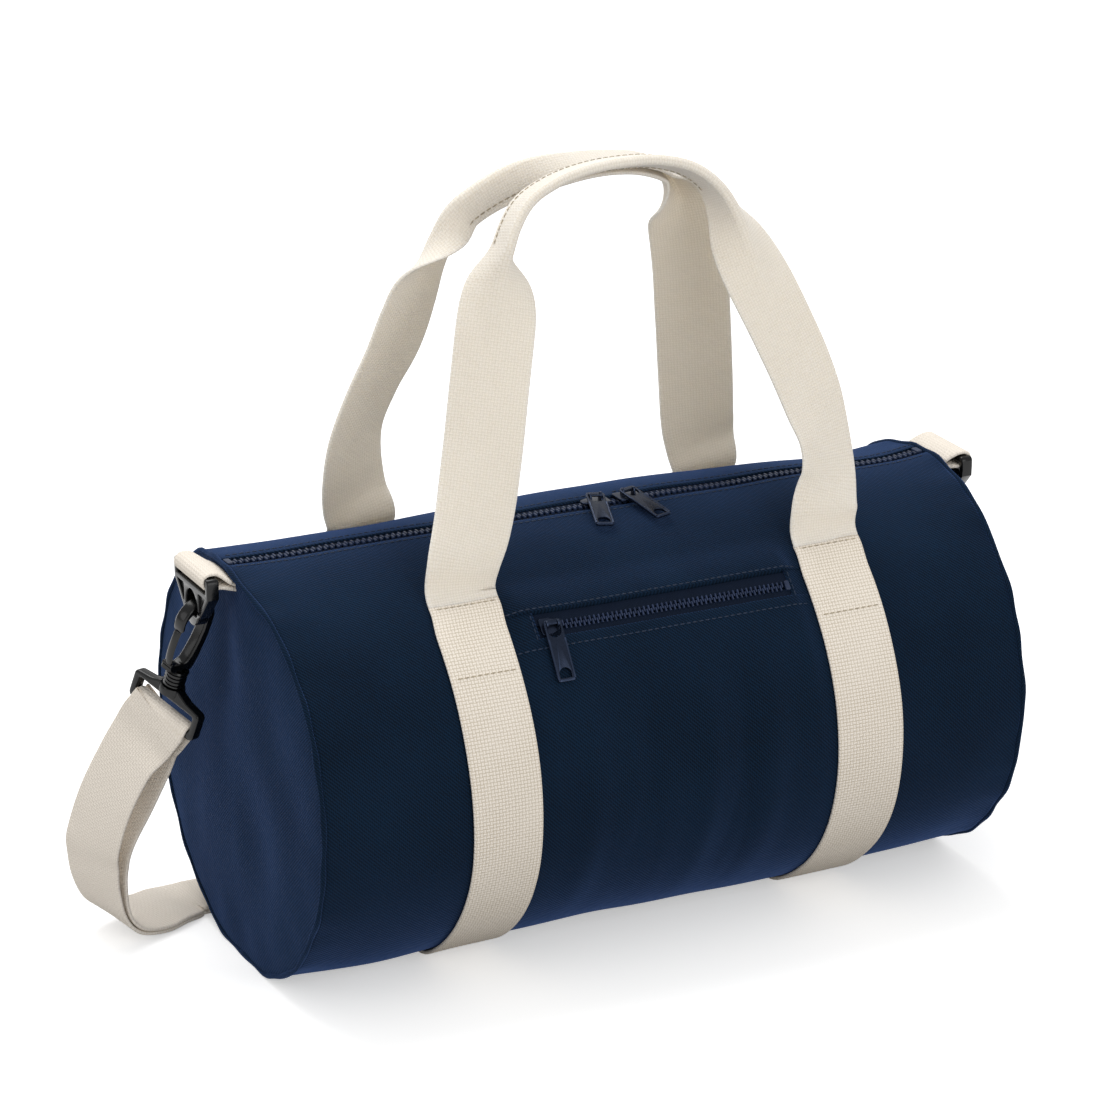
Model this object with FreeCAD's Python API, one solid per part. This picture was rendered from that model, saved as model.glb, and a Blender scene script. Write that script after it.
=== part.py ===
"""Canvas barrel bag with webbing handles, two zips and a clip-on shoulder strap.

Millimetres, +Z up. The barrel lies along X with its front towards -Y. The origin is on the
floor under the middle of the barrel. Angles round the barrel start at its front (0 degrees),
pass over the top (90 degrees) and reach the back at 180 degrees.
"""
import FreeCAD, Part
import math
import os
from FreeCAD import Placement, Rotation, Vector

os.makedirs("parts", exist_ok=True)

# Barrel
HALF_LENGTH = 199.0
RADIUS = 109.0
BASE_FLATTEN = 2.2
FABRIC = 1.2
SEAM_WIDTH = 6.0
SEAM_TAPE = 1.0
SEWN_GAP = 0.2
MOVING_GAP = 0.5
OVERRUN = 5.0
AXIS_HEIGHT = RADIUS - BASE_FLATTEN

# Mouth along the top and its rear lip
MOUTH_END_MARGIN = 8.0
MOUTH_HALF_WIDTH = 6.5
LIP_HINGE_ANGLE = 121.0
LIP_HINGE_GAP = 1.0
MOUTH_HALF_LENGTH = HALF_LENGTH - MOUTH_END_MARGIN

# Front pocket between the two wrap straps
POCKET_TOP_ANGLE = 49.0
POCKET_BOTTOM_ANGLE = -66.0
POCKET_FABRIC = 0.8
POCKET_ZIP_ANGLE = 44.3
POCKET_LEFT_MARGIN = 14.8
POCKET_RIGHT_MARGIN = 9.8
POCKET_SLOT_HALF_WIDTH = 5.7

# Webbing
WEB_WIDTH = 38.0
WEB_THICK = 2.0
STRAP_CENTRE = 103.0
STITCH_ANGLE = 55.5
SLOT_PLAY = 0.6
SLOT_HALF_WIDTH = WEB_WIDTH / 2 + SLOT_PLAY

# Zips: main along the top, pocket on the front
ZIP_TAPE = 0.6
MAIN_TOOTH_PITCH = 3.2
MAIN_TOOTH_HEIGHT = 2.8
MAIN_CHAIN_HALF_WIDTH = 3.3
MAIN_TAPE_REACH = 16.0
MAIN_STOP_LENGTH = 3.0
POCKET_TOOTH_PITCH = 2.54
POCKET_TOOTH_HEIGHT = 1.8
POCKET_CHAIN_HALF_WIDTH = 2.5
POCKET_TAPE_REACH = 8.0
POCKET_STOP_LENGTH = 2.4
TOOTH_WIDTH_SHARE = 0.42
TOOTH_ROOT_SHARE = 0.5
TOOTH_TIP_SHARE = 0.27

# Zip sliders and pulls
MAIN_SLIDER_HALF_LENGTH = 7.0
MAIN_SLIDER_HALF_WIDTH = 5.5
MAIN_SLIDER_PLATE = 1.1
MAIN_LEFT_SLIDER_X = 3.0
MAIN_RIGHT_SLIDER_X = 22.0
POCKET_SLIDER_HALF_LENGTH = 5.6
POCKET_SLIDER_HALF_WIDTH = 4.4
POCKET_SLIDER_PLATE = 0.6
POCKET_SLIDER_INSET = 7.0
SLIDER_NOSE_SHARE = 0.62
SLIDER_RUN_GAP = 0.3
SLIDER_FLANGE = 0.8
NECK_HALF_LENGTH = 1.3
NECK_HALF_WIDTH = 0.8
PIN_RADIUS = 0.8
PIN_RISE = 2.4
LUG_RADIUS = 1.6
LUG_THICK = 1.2
KNUCKLE_HALF_WIDTH = 2.0
KNUCKLE_RADIUS = 1.8
KNUCKLE_BORE = 1.2
PULL_LENGTH = 30.0
PULL_HALF_WIDTH = 4.8
PULL_TIP_HALF_WIDTH = 4.0
PULL_THICK = 1.6
PULL_NECK_HALF_WIDTH = 1.2
PULL_NECK_LENGTH = 3.0
PULL_SHOULDER_LENGTH = 7.0
PULL_HOLE_RADIUS = 2.4
PULL_HOLE_SETBACK = 6.0
MAIN_PULL_DROP_ANGLE = 12.0
MAIN_LEFT_PULL_SPLAY_ANGLE = -16.0
MAIN_RIGHT_PULL_SPLAY_ANGLE = 12.0
POCKET_PULL_DROP_ANGLE = 10.0

# Handles: places as shares of the strap centre and of the rise, turns as shares of a quarter turn
HANDLE_RISE = 197.0
HANDLE_TOP_GAP = 0.3
HANDLE_FOLD_GAP = 0.4
HANDLE_SEAT = 0.4
FRONT_HANDLE_SHARES = (
    (-1.0, 0.0, 0.0, 0.0), (-1.0, 0.02, 0.0, 0.0), (-0.9, 0.17, 0.0, 0.0), (-0.805, 0.34, 0.0, 0.0),
    (-0.72, 0.505, 0.0, 0.0), (-0.64, 0.66, 0.0, 0.0), (-0.59, 0.75, 0.1, 0.12), (-0.545, 0.82, 0.5, 0.6),
    (-0.49, 0.875, 0.85, 1.0), (-0.4, 0.925, 1.0, 1.0), (-0.25, 0.965, 1.0, 1.0), (-0.08, 0.99, 1.0, 1.0),
    (0.12, 0.995, 1.0, 1.0), (0.31, 0.985, 1.0, 1.0), (0.485, 0.955, 1.0, 1.0), (0.61, 0.905, 1.0, 1.0),
    (0.69, 0.85, 0.8, 0.9), (0.75, 0.78, 0.4, 0.45), (0.815, 0.68, 0.1, 0.1), (0.9, 0.56, 0.0, 0.0),
    (0.98, 0.455, 0.0, 0.0), (1.035, 0.35, 0.0, 0.0), (1.055, 0.255, 0.0, 0.0), (1.04, 0.16, 0.0, 0.0),
    (1.01, 0.08, 0.0, 0.0), (1.0, 0.02, 0.0, 0.0), (1.0, 0.0, 0.0, 0.0),
)
REAR_HANDLE_SHARES = (
    (-1.0, 0.0, 0.0, 0.0), (-1.0, 0.02, 0.0, 0.0), (-1.03, 0.08, 0.0, 0.0), (-1.055, 0.17, 0.0, 0.0),
    (-1.065, 0.275, 0.0, 0.0), (-1.02, 0.405, 0.0, 0.0), (-0.935, 0.52, 0.0, 0.0), (-0.87, 0.63, 0.0, 0.0),
    (-0.815, 0.735, 0.05, 0.1), (-0.735, 0.815, 0.1, 0.5), (-0.61, 0.885, 0.15, 1.0),
    (-0.44, 0.935, 0.15, 1.0), (-0.24, 0.96, 0.15, 1.0), (-0.05, 0.968, 0.15, 1.0),
    (0.145, 0.958, 0.15, 1.0),
    (0.325, 0.925, 0.15, 1.0), (0.47, 0.87, 0.15, 1.0), (0.565, 0.8, 0.1, 0.55),
    (0.63, 0.715, 0.05, 0.15), (0.685, 0.615, 0.0, 0.0), (0.745, 0.47, 0.0, 0.0),
    (0.83, 0.28, 0.0, 0.0), (0.915, 0.14, 0.0, 0.0), (1.0, 0.02, 0.0, 0.0), (1.0, 0.0, 0.0, 0.0),
)

# Ring tabs and rings at the two ends
TAB_LAP = 6.0
LEFT_RING_OUT = 19.0
RIGHT_RING_OUT = 14.5
RING_BAR_RADIUS = 2.2
RING_THICK = 6.5
RING_CHEEK = 2.9
RING_SLOT_HEIGHT = 3.6
RING_SHOULDER = 3.0
RING_HEIGHT = 28.0
RING_TIP_HALF_WIDTH = 8.0
RING_HOLE_HALF_WIDTH = 7.5
RING_RIM = 6.0
RING_HOLE_HEIGHT = 13.0

# Snap hooks, in their own frame: outward, across and up along the hook
HOOK_EYE_RADIUS = 6.6
HOOK_THICK = 5.2
HOOK_WIDTH = 7.0
HOOK_EYE_DEPTH = 33.0
HOOK_NOSE = 4.0
HOOK_BLOCK = 4.0
HOOK_SEAT = 2.3
SWIVEL_RADIUS = 5.2
SWIVEL_HEIGHT = 9.0
POST_RADIUS = 2.6
POST_LENGTH = 5.0
GATE_THICK = 2.0
BASE_CHEEK = 3.9
BASE_THICK = 6.4
BASE_HUB_HEIGHT = 7.0
BASE_SLOT_HEIGHT = 8.0
BASE_BAR_RADIUS = 2.6
LOOP_LENGTH = 8.0
LEFT_HOOK_TURN_ANGLE = 24.0
LEFT_HOOK_LEAN_BACK_ANGLE = 19.7
LEFT_HOOK_LEAN_OUT_ANGLE = 4.0
RIGHT_HOOK_TURN_ANGLE = -8.0
RIGHT_HOOK_LEAN_BACK_ANGLE = -10.0
RIGHT_HOOK_LEAN_OUT_ANGLE = 2.0

# Shoulder strap legs: outward, backward and height shares, then the width's X and Z direction shares
RUN_FLOOR = 0.3
LAYER_GAP = 0.2
RUN_INSET = 4.0
STRAP_LEAD = 6.0
LEFT_LEG_REACH = 61.5
RIGHT_LEG_REACH = 34.0
LEFT_LEG_SHARES = (
    (0.8, 0.227, 0.856, 0.34, -0.06), (0.927, 0.389, 0.647, 0.36, 0.05), (1.0, 0.515, 0.455, 0.37, 0.1),
    (0.976, 0.583, 0.342, 0.36, 0.12), (0.915, 0.623, 0.23, 0.3, 0.14), (0.808, 0.663, 0.122, 0.2, 0.1),
    (0.641, 0.709, 0.04, 0.14, 0.02), (0.434, 0.758, 0.004, 0.2, 0.0), (0.228, 0.85, 0.0, 0.26, 0.0),
)
# How far the left leg's inner layer hangs behind its outer layer, at the same places
LEFT_LEG_PARTING = (12.0, 12.6, 8.4, 5.4, 3.8, 2.8, 2.4)
RIGHT_LEG_SHARES = (
    (0.66, 0.08, 0.86, 0.0, 0.1), (0.82, 0.2, 0.68, 0.0, 0.08), (0.95, 0.36, 0.47, 0.0, 0.06),
    (1.0, 0.54, 0.27, 0.0, 0.04), (0.85, 0.75, 0.11, 0.0, 0.02), (0.55, 0.9, 0.045, 0.0, 0.0),
    (0.2, 0.98, 0.025, 0.0, 0.0),
)

# Slide adjuster on the hidden floor run
ADJUSTER_X = 40.0
ADJUSTER_HALF_LENGTH = 13.0
ADJUSTER_THICK = 2.5
ADJUSTER_SIDE_BAR = 3.4
ADJUSTER_MID_BAR = 5.0
ADJUSTER_CHEEK = 2.9
ADJUSTER_HALF_WIDTH = SLOT_HALF_WIDTH + ADJUSTER_CHEEK
ADJUSTER_LOW = RUN_FLOOR + WEB_THICK + SLIDER_RUN_GAP
ADJUSTER_CLEARANCE = 5.6
CLEAR_DROP = AXIS_HEIGHT - ADJUSTER_LOW - ADJUSTER_THICK - ADJUSTER_CLEARANCE
RUN_CENTRE_Y = ADJUSTER_HALF_WIDTH + math.sqrt(RADIUS ** 2 - CLEAR_DROP ** 2)

QUARTER_TURN = 90.0
HALF_TURN = 180.0
X_AXIS = Vector(1, 0, 0)
Y_AXIS = Vector(0, 1, 0)
Z_AXIS = Vector(0, 0, 1)
ORIGIN = Vector(0, 0, 0)


def save(node, shape):
    """Write one node and report its solids and volume."""
    shape.exportStep("parts/" + node + ".step")
    print(node, len(shape.Solids), round(shape.Volume, 1), shape.isValid())


def box(x_low, x_high, y_low, y_high, z_low, z_high):
    """Box between two corners."""
    return Part.makeBox(x_high - x_low, y_high - y_low, z_high - z_low, Vector(x_low, y_low, z_low))


def around(radius, angle, x=0):
    """Point on a circle round the barrel's axis."""
    turn = math.radians(angle)
    return Vector(x, -radius * math.cos(turn), AXIS_HEIGHT + radius * math.sin(turn))


def slab(edges, sweep):
    """Closed outline of edges, swept into a solid."""
    return Part.Face(Part.Wire(edges)).extrude(sweep)


def line(start, end):
    """Straight edge."""
    return Part.LineSegment(start, end).toShape()


def arc(start, through, end):
    """Round edge."""
    return Part.Arc(start, through, end).toShape()


def polygon(points, sweep):
    """Closed polygon, swept into a solid."""
    return Part.Face(Part.makePolygon(points + [points[0]])).extrude(sweep)


def curved_band(inner, outer, low_angle, high_angle, x_low, x_high):
    """Piece of a round wall between two angles."""
    angles = (low_angle, (low_angle + high_angle) / 2, high_angle)
    outside = [around(outer, angle, x_low) for angle in angles]
    inside = [around(inner, angle, x_low) for angle in reversed(angles)]
    edges = [arc(*outside), line(outside[-1], inside[0]), arc(*inside), line(inside[-1], outside[0])]
    return slab(edges, Vector(x_high - x_low, 0, 0))


def barrel_solid(radius, floor, x_low, x_high):
    """Round bar along X with a flat cut along its underside."""
    bar = Part.makeCylinder(radius, x_high - x_low, Vector(x_low, 0, AXIS_HEIGHT), X_AXIS)
    keep = box(x_low, x_high, -radius, radius, floor, AXIS_HEIGHT + radius)
    return bar.common(keep)


def edge_angle(offset, radius):
    """Angle from the top centre line to a point that far across the barrel."""
    return math.degrees(math.asin(offset / radius))


def main_panel():
    """Tube of canvas with the mouth left open along its top and shallow seats for the wrap straps."""
    inner_half = HALF_LENGTH - FABRIC
    seat = WEB_THICK + SEWN_GAP
    outer = barrel_solid(RADIUS, 0, -inner_half, inner_half)
    inner = barrel_solid(RADIUS - FABRIC, FABRIC, -inner_half, inner_half)
    for centre in (-STRAP_CENTRE, STRAP_CENTRE):
        half = WEB_WIDTH / 2 + SEWN_GAP
        outer = outer.cut(box(centre - half, centre + half, -RADIUS, RADIUS, 0, seat))
        half = half + FABRIC
        inner = inner.cut(box(centre - half, centre + half, -RADIUS, RADIUS, 0, seat + FABRIC))
    front_angle = QUARTER_TURN - edge_angle(MOUTH_HALF_WIDTH, RADIUS)
    rear_angle = LIP_HINGE_ANGLE + math.degrees(LIP_HINGE_GAP / RADIUS)
    half = MOUTH_HALF_LENGTH
    mouth = curved_band(RADIUS - FABRIC - OVERRUN, RADIUS + OVERRUN, front_angle, rear_angle, -half, half)
    return outer.cut(inner).cut(mouth)


def rear_lip():
    """Strip of canvas between the main zip and the line where the mouth folds open."""
    low_angle = QUARTER_TURN + edge_angle(MOUTH_HALF_WIDTH, RADIUS)
    high_angle = LIP_HINGE_ANGLE - math.degrees(LIP_HINGE_GAP / RADIUS)
    half = MOUTH_HALF_LENGTH - MOVING_GAP
    return curved_band(RADIUS - FABRIC, RADIUS, low_angle, high_angle, -half, half)


def end_panel(side):
    """Round end of the barrel."""
    x_low = min(side * HALF_LENGTH, side * (HALF_LENGTH - FABRIC))
    return barrel_solid(RADIUS, 0, x_low, x_low + FABRIC)


def seam_binding(side):
    """Tape round the inside of an end seam."""
    outer_x = side * (HALF_LENGTH - FABRIC)
    x_low = min(outer_x, outer_x - side * SEAM_WIDTH)
    x_high = x_low + SEAM_WIDTH
    reach = RADIUS - FABRIC - SEWN_GAP
    floor = FABRIC + SEWN_GAP
    ring = barrel_solid(reach, floor, x_low, x_high)
    return ring.cut(barrel_solid(reach - SEAM_TAPE, floor + SEAM_TAPE, x_low, x_high))


def pocket_half_width():
    """Half the width of the pocket, which fills the space between the wrap straps."""
    return STRAP_CENTRE - WEB_WIDTH / 2 - SEWN_GAP


def pocket_chain_rise():
    """Height of the pocket's teeth over the barrel, with room for the slider's lower plate."""
    return SLIDER_RUN_GAP + POCKET_SLIDER_PLATE + SLIDER_RUN_GAP + POCKET_TOOTH_HEIGHT / 2


def pocket_panel():
    """Front of the pocket, with a slot for its zip."""
    half = pocket_half_width()
    inner = RADIUS + pocket_chain_rise() + ZIP_TAPE / 2 + SEWN_GAP
    outer = inner + POCKET_FABRIC
    panel = curved_band(inner, outer, POCKET_BOTTOM_ANGLE, POCKET_TOP_ANGLE, -half, half)
    slot_turn = math.degrees(POCKET_SLOT_HALF_WIDTH / RADIUS)
    slot = curved_band(
        inner - OVERRUN, outer + OVERRUN, POCKET_ZIP_ANGLE - slot_turn, POCKET_ZIP_ANGLE + slot_turn,
        POCKET_LEFT_MARGIN - half, half - POCKET_RIGHT_MARGIN
    )
    return panel.cut(slot)


def wrap_strap(centre):
    """Webbing from the front stitch line, under the barrel, to the rear stitch line."""
    x_low = centre - WEB_WIDTH / 2
    inner = RADIUS + SEWN_GAP
    outer = inner + WEB_THICK
    outer_floor = math.sqrt(outer ** 2 - AXIS_HEIGHT ** 2)
    inner_floor = math.sqrt(inner ** 2 - (AXIS_HEIGHT - WEB_THICK) ** 2)
    outer_front = Vector(x_low, -outer_floor, 0)
    outer_rear = Vector(x_low, outer_floor, 0)
    inner_front = Vector(x_low, -inner_floor, WEB_THICK)
    inner_rear = Vector(x_low, inner_floor, WEB_THICK)
    rear_stitch = HALF_TURN - STITCH_ANGLE
    edges = [
        arc(around(outer, STITCH_ANGLE, x_low), around(outer, 0, x_low), outer_front),
        line(outer_front, outer_rear),
        arc(outer_rear, around(outer, HALF_TURN, x_low), around(outer, rear_stitch, x_low)),
        line(around(outer, rear_stitch, x_low), around(inner, rear_stitch, x_low)),
        arc(around(inner, rear_stitch, x_low), around(inner, HALF_TURN, x_low), inner_rear),
        line(inner_rear, inner_front),
        arc(inner_front, around(inner, 0, x_low), around(inner, STITCH_ANGLE, x_low)),
        line(around(inner, STITCH_ANGLE, x_low), around(outer, STITCH_ANGLE, x_low)),
    ]
    return slab(edges, Vector(WEB_WIDTH, 0, 0))


def on_barrel(shape, angle, x=0):
    """Move a piece drawn at the top of a barrel of no radius to its angle and place along X."""
    placed = shape.copy()
    placed.rotate(ORIGIN, X_AXIS, QUARTER_TURN - angle)
    placed.translate(around(RADIUS, angle, x))
    return placed


def teeth_row(side, pitch, height, half_width, mid, x_low, x_high, necks):
    """One row of moulded teeth on its bead, with the teeth parted round each slider's neck."""
    bead_out = side * half_width
    bead_in = side * half_width * TOOTH_ROOT_SHARE
    tip = -side * half_width * TOOTH_TIP_SHARE
    half_tooth = pitch * TOOTH_WIDTH_SHARE / 2
    count = int((x_high - x_low) / pitch) - 1
    first = x_low + pitch / 2 + (pitch / 2 if side > 0 else 0)
    low = mid - height / 2
    points = [Vector(x_high, bead_in, low), Vector(x_high, bead_out, low), Vector(x_low, bead_out, low)]
    points.append(Vector(x_low, bead_in, low))
    for index in range(count):
        centre = first + index * pitch
        points.append(Vector(centre - half_tooth, bead_in, low))
        points.append(Vector(centre - half_tooth, tip, low))
        points.append(Vector(centre + half_tooth, tip, low))
        points.append(Vector(centre + half_tooth, bead_in, low))
    row = polygon(points, Vector(0, 0, height))
    half_gap = NECK_HALF_LENGTH + SLIDER_RUN_GAP
    half_part = NECK_HALF_WIDTH + SLIDER_RUN_GAP
    for neck in necks:
        row = row.cut(box(neck - half_gap, neck + half_gap, -half_part, half_part, low, low + height))
    return row


def slider(half_length, half_width, plate, tooth_height, mid):
    """Zip slider: two plates on a neck, with side flanges, two lugs and the pull's pin."""
    under_top = mid + tooth_height / 2 + SLIDER_RUN_GAP
    over_bottom = mid - tooth_height / 2 - SLIDER_RUN_GAP
    nose = half_width * SLIDER_NOSE_SHARE
    outline = [
        (-half_length, -nose), (0, -half_width), (half_length, -half_width),
        (half_length, half_width), (0, half_width), (-half_length, nose),
    ]
    top = polygon([Vector(x, y, under_top) for x, y in outline], Vector(0, 0, plate))
    bottom = polygon([Vector(x, y, over_bottom - plate) for x, y in outline], Vector(0, 0, plate))
    neck = box(
        -NECK_HALF_LENGTH, NECK_HALF_LENGTH, -NECK_HALF_WIDTH, NECK_HALF_WIDTH, over_bottom, under_top
    )
    body = top.fuse([bottom, neck])
    tape_room = ZIP_TAPE / 2 + SLIDER_RUN_GAP
    for edge in (-half_width, half_width - SLIDER_FLANGE):
        body = body.fuse(box(0, half_length, edge, edge + SLIDER_FLANGE, mid + tape_room, under_top))
    lug_low = under_top + plate
    pin_height = lug_low + PIN_RISE
    for x_low in (-KNUCKLE_HALF_WIDTH - MOVING_GAP - LUG_THICK, KNUCKLE_HALF_WIDTH + MOVING_GAP):
        lug = box(x_low, x_low + LUG_THICK, -LUG_RADIUS, LUG_RADIUS, lug_low, pin_height)
        cap = Part.makeCylinder(LUG_RADIUS, LUG_THICK, Vector(x_low, 0, pin_height), X_AXIS)
        body = body.fuse([lug, cap])
    pin_half = KNUCKLE_HALF_WIDTH + MOVING_GAP
    pin = Part.makeCylinder(PIN_RADIUS, 2 * pin_half, Vector(-pin_half, 0, pin_height), X_AXIS)
    return body.fuse(pin).removeSplitter(), pin_height


def zip_pull(splay, drop, pin_height):
    """Pull plate with a knuckle round the slider's pin and a round hole near its tip."""
    half = PULL_THICK / 2
    shoulder_start = -PULL_NECK_LENGTH
    shoulder_end = -PULL_SHOULDER_LENGTH
    outline = [
        (-PULL_NECK_HALF_WIDTH, -KNUCKLE_BORE), (-PULL_NECK_HALF_WIDTH, shoulder_start),
        (-PULL_HALF_WIDTH, shoulder_end), (-PULL_TIP_HALF_WIDTH, -PULL_LENGTH),
        (PULL_TIP_HALF_WIDTH, -PULL_LENGTH), (PULL_HALF_WIDTH, shoulder_end),
        (PULL_NECK_HALF_WIDTH, shoulder_start), (PULL_NECK_HALF_WIDTH, -KNUCKLE_BORE),
    ]
    plate = polygon([Vector(x, y, -half) for x, y in outline], Vector(0, 0, PULL_THICK))
    hole_place = Vector(0, -PULL_LENGTH + PULL_HOLE_SETBACK, -half)
    plate = plate.cut(Part.makeCylinder(PULL_HOLE_RADIUS, PULL_THICK, hole_place, Z_AXIS))
    plate.rotate(ORIGIN, Z_AXIS, splay)
    start = Vector(-KNUCKLE_HALF_WIDTH, 0, 0)
    knuckle = Part.makeCylinder(KNUCKLE_RADIUS, 2 * KNUCKLE_HALF_WIDTH, start, X_AXIS)
    bore = Part.makeCylinder(KNUCKLE_BORE, 2 * KNUCKLE_HALF_WIDTH, start, X_AXIS)
    pull = plate.fuse(knuckle).cut(bore).removeSplitter()
    pull.rotate(ORIGIN, X_AXIS, drop)
    pull.translate(Vector(0, 0, pin_height))
    return pull


def main_zip():
    """Main zip: tapes, teeth and stops on the top line, with two sliders that meet head to head."""
    mid = -FABRIC - SEWN_GAP - ZIP_TAPE / 2
    outer = RADIUS + mid + ZIP_TAPE / 2
    inner = outer - ZIP_TAPE
    half = MOUTH_HALF_LENGTH - MOVING_GAP
    near = edge_angle(MAIN_CHAIN_HALF_WIDTH + SEWN_GAP, outer)
    far = edge_angle(MAIN_TAPE_REACH, outer)
    front_tape = curved_band(inner, outer, QUARTER_TURN - far, QUARTER_TURN - near, -half, half)
    save("main_zip_tape_front", front_tape)
    rear_tape = curved_band(inner, outer, QUARTER_TURN + near, QUARTER_TURN + far, -half, half)
    save("main_zip_tape_rear", rear_tape)
    chain = half - MAIN_STOP_LENGTH - SEWN_GAP
    necks = (MAIN_LEFT_SLIDER_X, MAIN_RIGHT_SLIDER_X)
    for name, side in (("front", -1), ("rear", 1)):
        row = teeth_row(
            side, MAIN_TOOTH_PITCH, MAIN_TOOTH_HEIGHT, MAIN_CHAIN_HALF_WIDTH, mid, -chain, chain, necks
        )
        save("main_zip_teeth_" + name, on_barrel(row, QUARTER_TURN))
    low = mid - MAIN_TOOTH_HEIGHT / 2
    for name, x_low in (("left", -half), ("right", half - MAIN_STOP_LENGTH)):
        stop = box(
            x_low, x_low + MAIN_STOP_LENGTH, -MAIN_CHAIN_HALF_WIDTH, MAIN_CHAIN_HALF_WIDTH - MOVING_GAP,
            low, low + MAIN_TOOTH_HEIGHT
        )
        save("main_zip_stop_" + name, on_barrel(stop, QUARTER_TURN))
    sliders = (
        ("left", MAIN_LEFT_SLIDER_X, 0, MAIN_LEFT_PULL_SPLAY_ANGLE),
        ("right", MAIN_RIGHT_SLIDER_X, HALF_TURN, MAIN_RIGHT_PULL_SPLAY_ANGLE),
    )
    for name, x, turn, splay in sliders:
        body, pin_height = slider(
            MAIN_SLIDER_HALF_LENGTH, MAIN_SLIDER_HALF_WIDTH, MAIN_SLIDER_PLATE, MAIN_TOOTH_HEIGHT, mid
        )
        body.rotate(ORIGIN, Z_AXIS, turn)
        save("main_zip_slider_" + name, on_barrel(body, QUARTER_TURN, x))
        pull = zip_pull(splay, MAIN_PULL_DROP_ANGLE, pin_height)
        save("main_zip_pull_" + name, on_barrel(pull, QUARTER_TURN, x))
        print("pull pin", name, around(RADIUS + pin_height, QUARTER_TURN, x))


def pocket_zip():
    """Pocket zip: tapes and teeth behind the pocket's slot, with one slider at the left end."""
    mid = pocket_chain_rise()
    left = POCKET_LEFT_MARGIN - pocket_half_width()
    right = pocket_half_width() - POCKET_RIGHT_MARGIN
    slider_x = left + POCKET_SLIDER_INSET
    outer = RADIUS + mid + ZIP_TAPE / 2
    near = math.degrees((POCKET_CHAIN_HALF_WIDTH + SEWN_GAP) / outer)
    far = math.degrees(POCKET_TAPE_REACH / outer)
    for name, side in (("lower", -1), ("upper", 1)):
        edges = sorted((POCKET_ZIP_ANGLE + side * near, POCKET_ZIP_ANGLE + side * far))
        tape = curved_band(outer - ZIP_TAPE, outer, edges[0], edges[1], left, right)
        save("pocket_zip_tape_" + name, tape)
        row = teeth_row(
            side, POCKET_TOOTH_PITCH, POCKET_TOOTH_HEIGHT, POCKET_CHAIN_HALF_WIDTH, mid,
            left, right - POCKET_STOP_LENGTH - SEWN_GAP, (slider_x,)
        )
        save("pocket_zip_teeth_" + name, on_barrel(row, POCKET_ZIP_ANGLE))
    low = mid - POCKET_TOOTH_HEIGHT / 2
    stop = box(
        right - POCKET_STOP_LENGTH, right, -POCKET_CHAIN_HALF_WIDTH, POCKET_CHAIN_HALF_WIDTH,
        low, low + POCKET_TOOTH_HEIGHT
    )
    save("pocket_zip_stop", on_barrel(stop, POCKET_ZIP_ANGLE))
    body, pin_height = slider(
        POCKET_SLIDER_HALF_LENGTH, POCKET_SLIDER_HALF_WIDTH, POCKET_SLIDER_PLATE, POCKET_TOOTH_HEIGHT, mid
    )
    body.rotate(ORIGIN, Z_AXIS, HALF_TURN)
    save("pocket_zip_slider", on_barrel(body, POCKET_ZIP_ANGLE, slider_x))
    pull = zip_pull(0, POCKET_PULL_DROP_ANGLE, pin_height)
    save("pocket_zip_pull", on_barrel(pull, POCKET_ZIP_ANGLE, slider_x))
    print("pocket pin", around(RADIUS + pin_height, POCKET_ZIP_ANGLE, slider_x))


def ribbon(stations):
    """Flat band through stations of centre, width direction, width and thickness."""
    wires = []
    last = len(stations) - 1
    for index, (centre, across, width, thick) in enumerate(stations):
        before = stations[max(index - 1, 0)][0]
        after = stations[min(index + 1, last)][0]
        along = (after - before).normalize()
        side = (across - along * across.dot(along)).normalize()
        face = along.cross(side)
        half_side = side * (width / 2)
        half_face = face * (thick / 2)
        corners = [
            centre - half_side - half_face, centre + half_side - half_face,
            centre + half_side + half_face, centre - half_side + half_face,
        ]
        wires.append(Part.makePolygon(corners + [corners[0]]))
    return Part.makeLoft(wires, True, True)


def handle(shares, front):
    """Handle of one webbing: flat legs from the wrap straps, folded in half lengthwise in the grip."""
    foot = around(RADIUS + SEWN_GAP + WEB_THICK + HANDLE_SEAT + WEB_THICK / 2, STITCH_ANGLE)
    top = Vector(0, -WEB_WIDTH / 4 - HANDLE_TOP_GAP, foot.z + HANDLE_RISE)
    climb = (top - foot).normalize()
    out = climb.cross(X_AXIS)
    folded = 2 * WEB_THICK + HANDLE_FOLD_GAP
    places = []
    for x_share, rise_share, turn_share, fold_share in shares:
        places.append(foot + (top - foot) * rise_share + X_AXIS * (x_share * STRAP_CENTRE))
    stations = []
    last = len(places) - 1
    for index, (x_share, rise_share, turn_share, fold_share) in enumerate(shares):
        along = (places[min(index + 1, last)] - places[max(index - 1, 0)]).normalize()
        flat = along.cross(out)
        turn = math.radians(turn_share * QUARTER_TURN)
        across = flat * math.cos(turn) + out * math.sin(turn)
        width = WEB_WIDTH * (1 - fold_share / 2)
        thick = WEB_THICK + (folded - WEB_THICK) * fold_share
        stations.append((places[index], across, width, thick))
    if not front:
        stations = [
            (Vector(place.x, -place.y, place.z), Vector(across.x, -across.y, across.z), width, thick)
            for place, across, width, thick in stations
        ]
    print("handle foot", foot)
    return ribbon(stations)


def ring_out(side):
    """How far a ring's bar hangs out from the end of the barrel."""
    return LEFT_RING_OUT if side < 0 else RIGHT_RING_OUT


def ring_bar(side):
    """Centre of a ring's bar, inside its tab."""
    height = AXIS_HEIGHT + RADIUS + SEWN_GAP - RING_BAR_RADIUS - MOVING_GAP
    return Vector(side * (HALF_LENGTH + ring_out(side)), 0, height)


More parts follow.
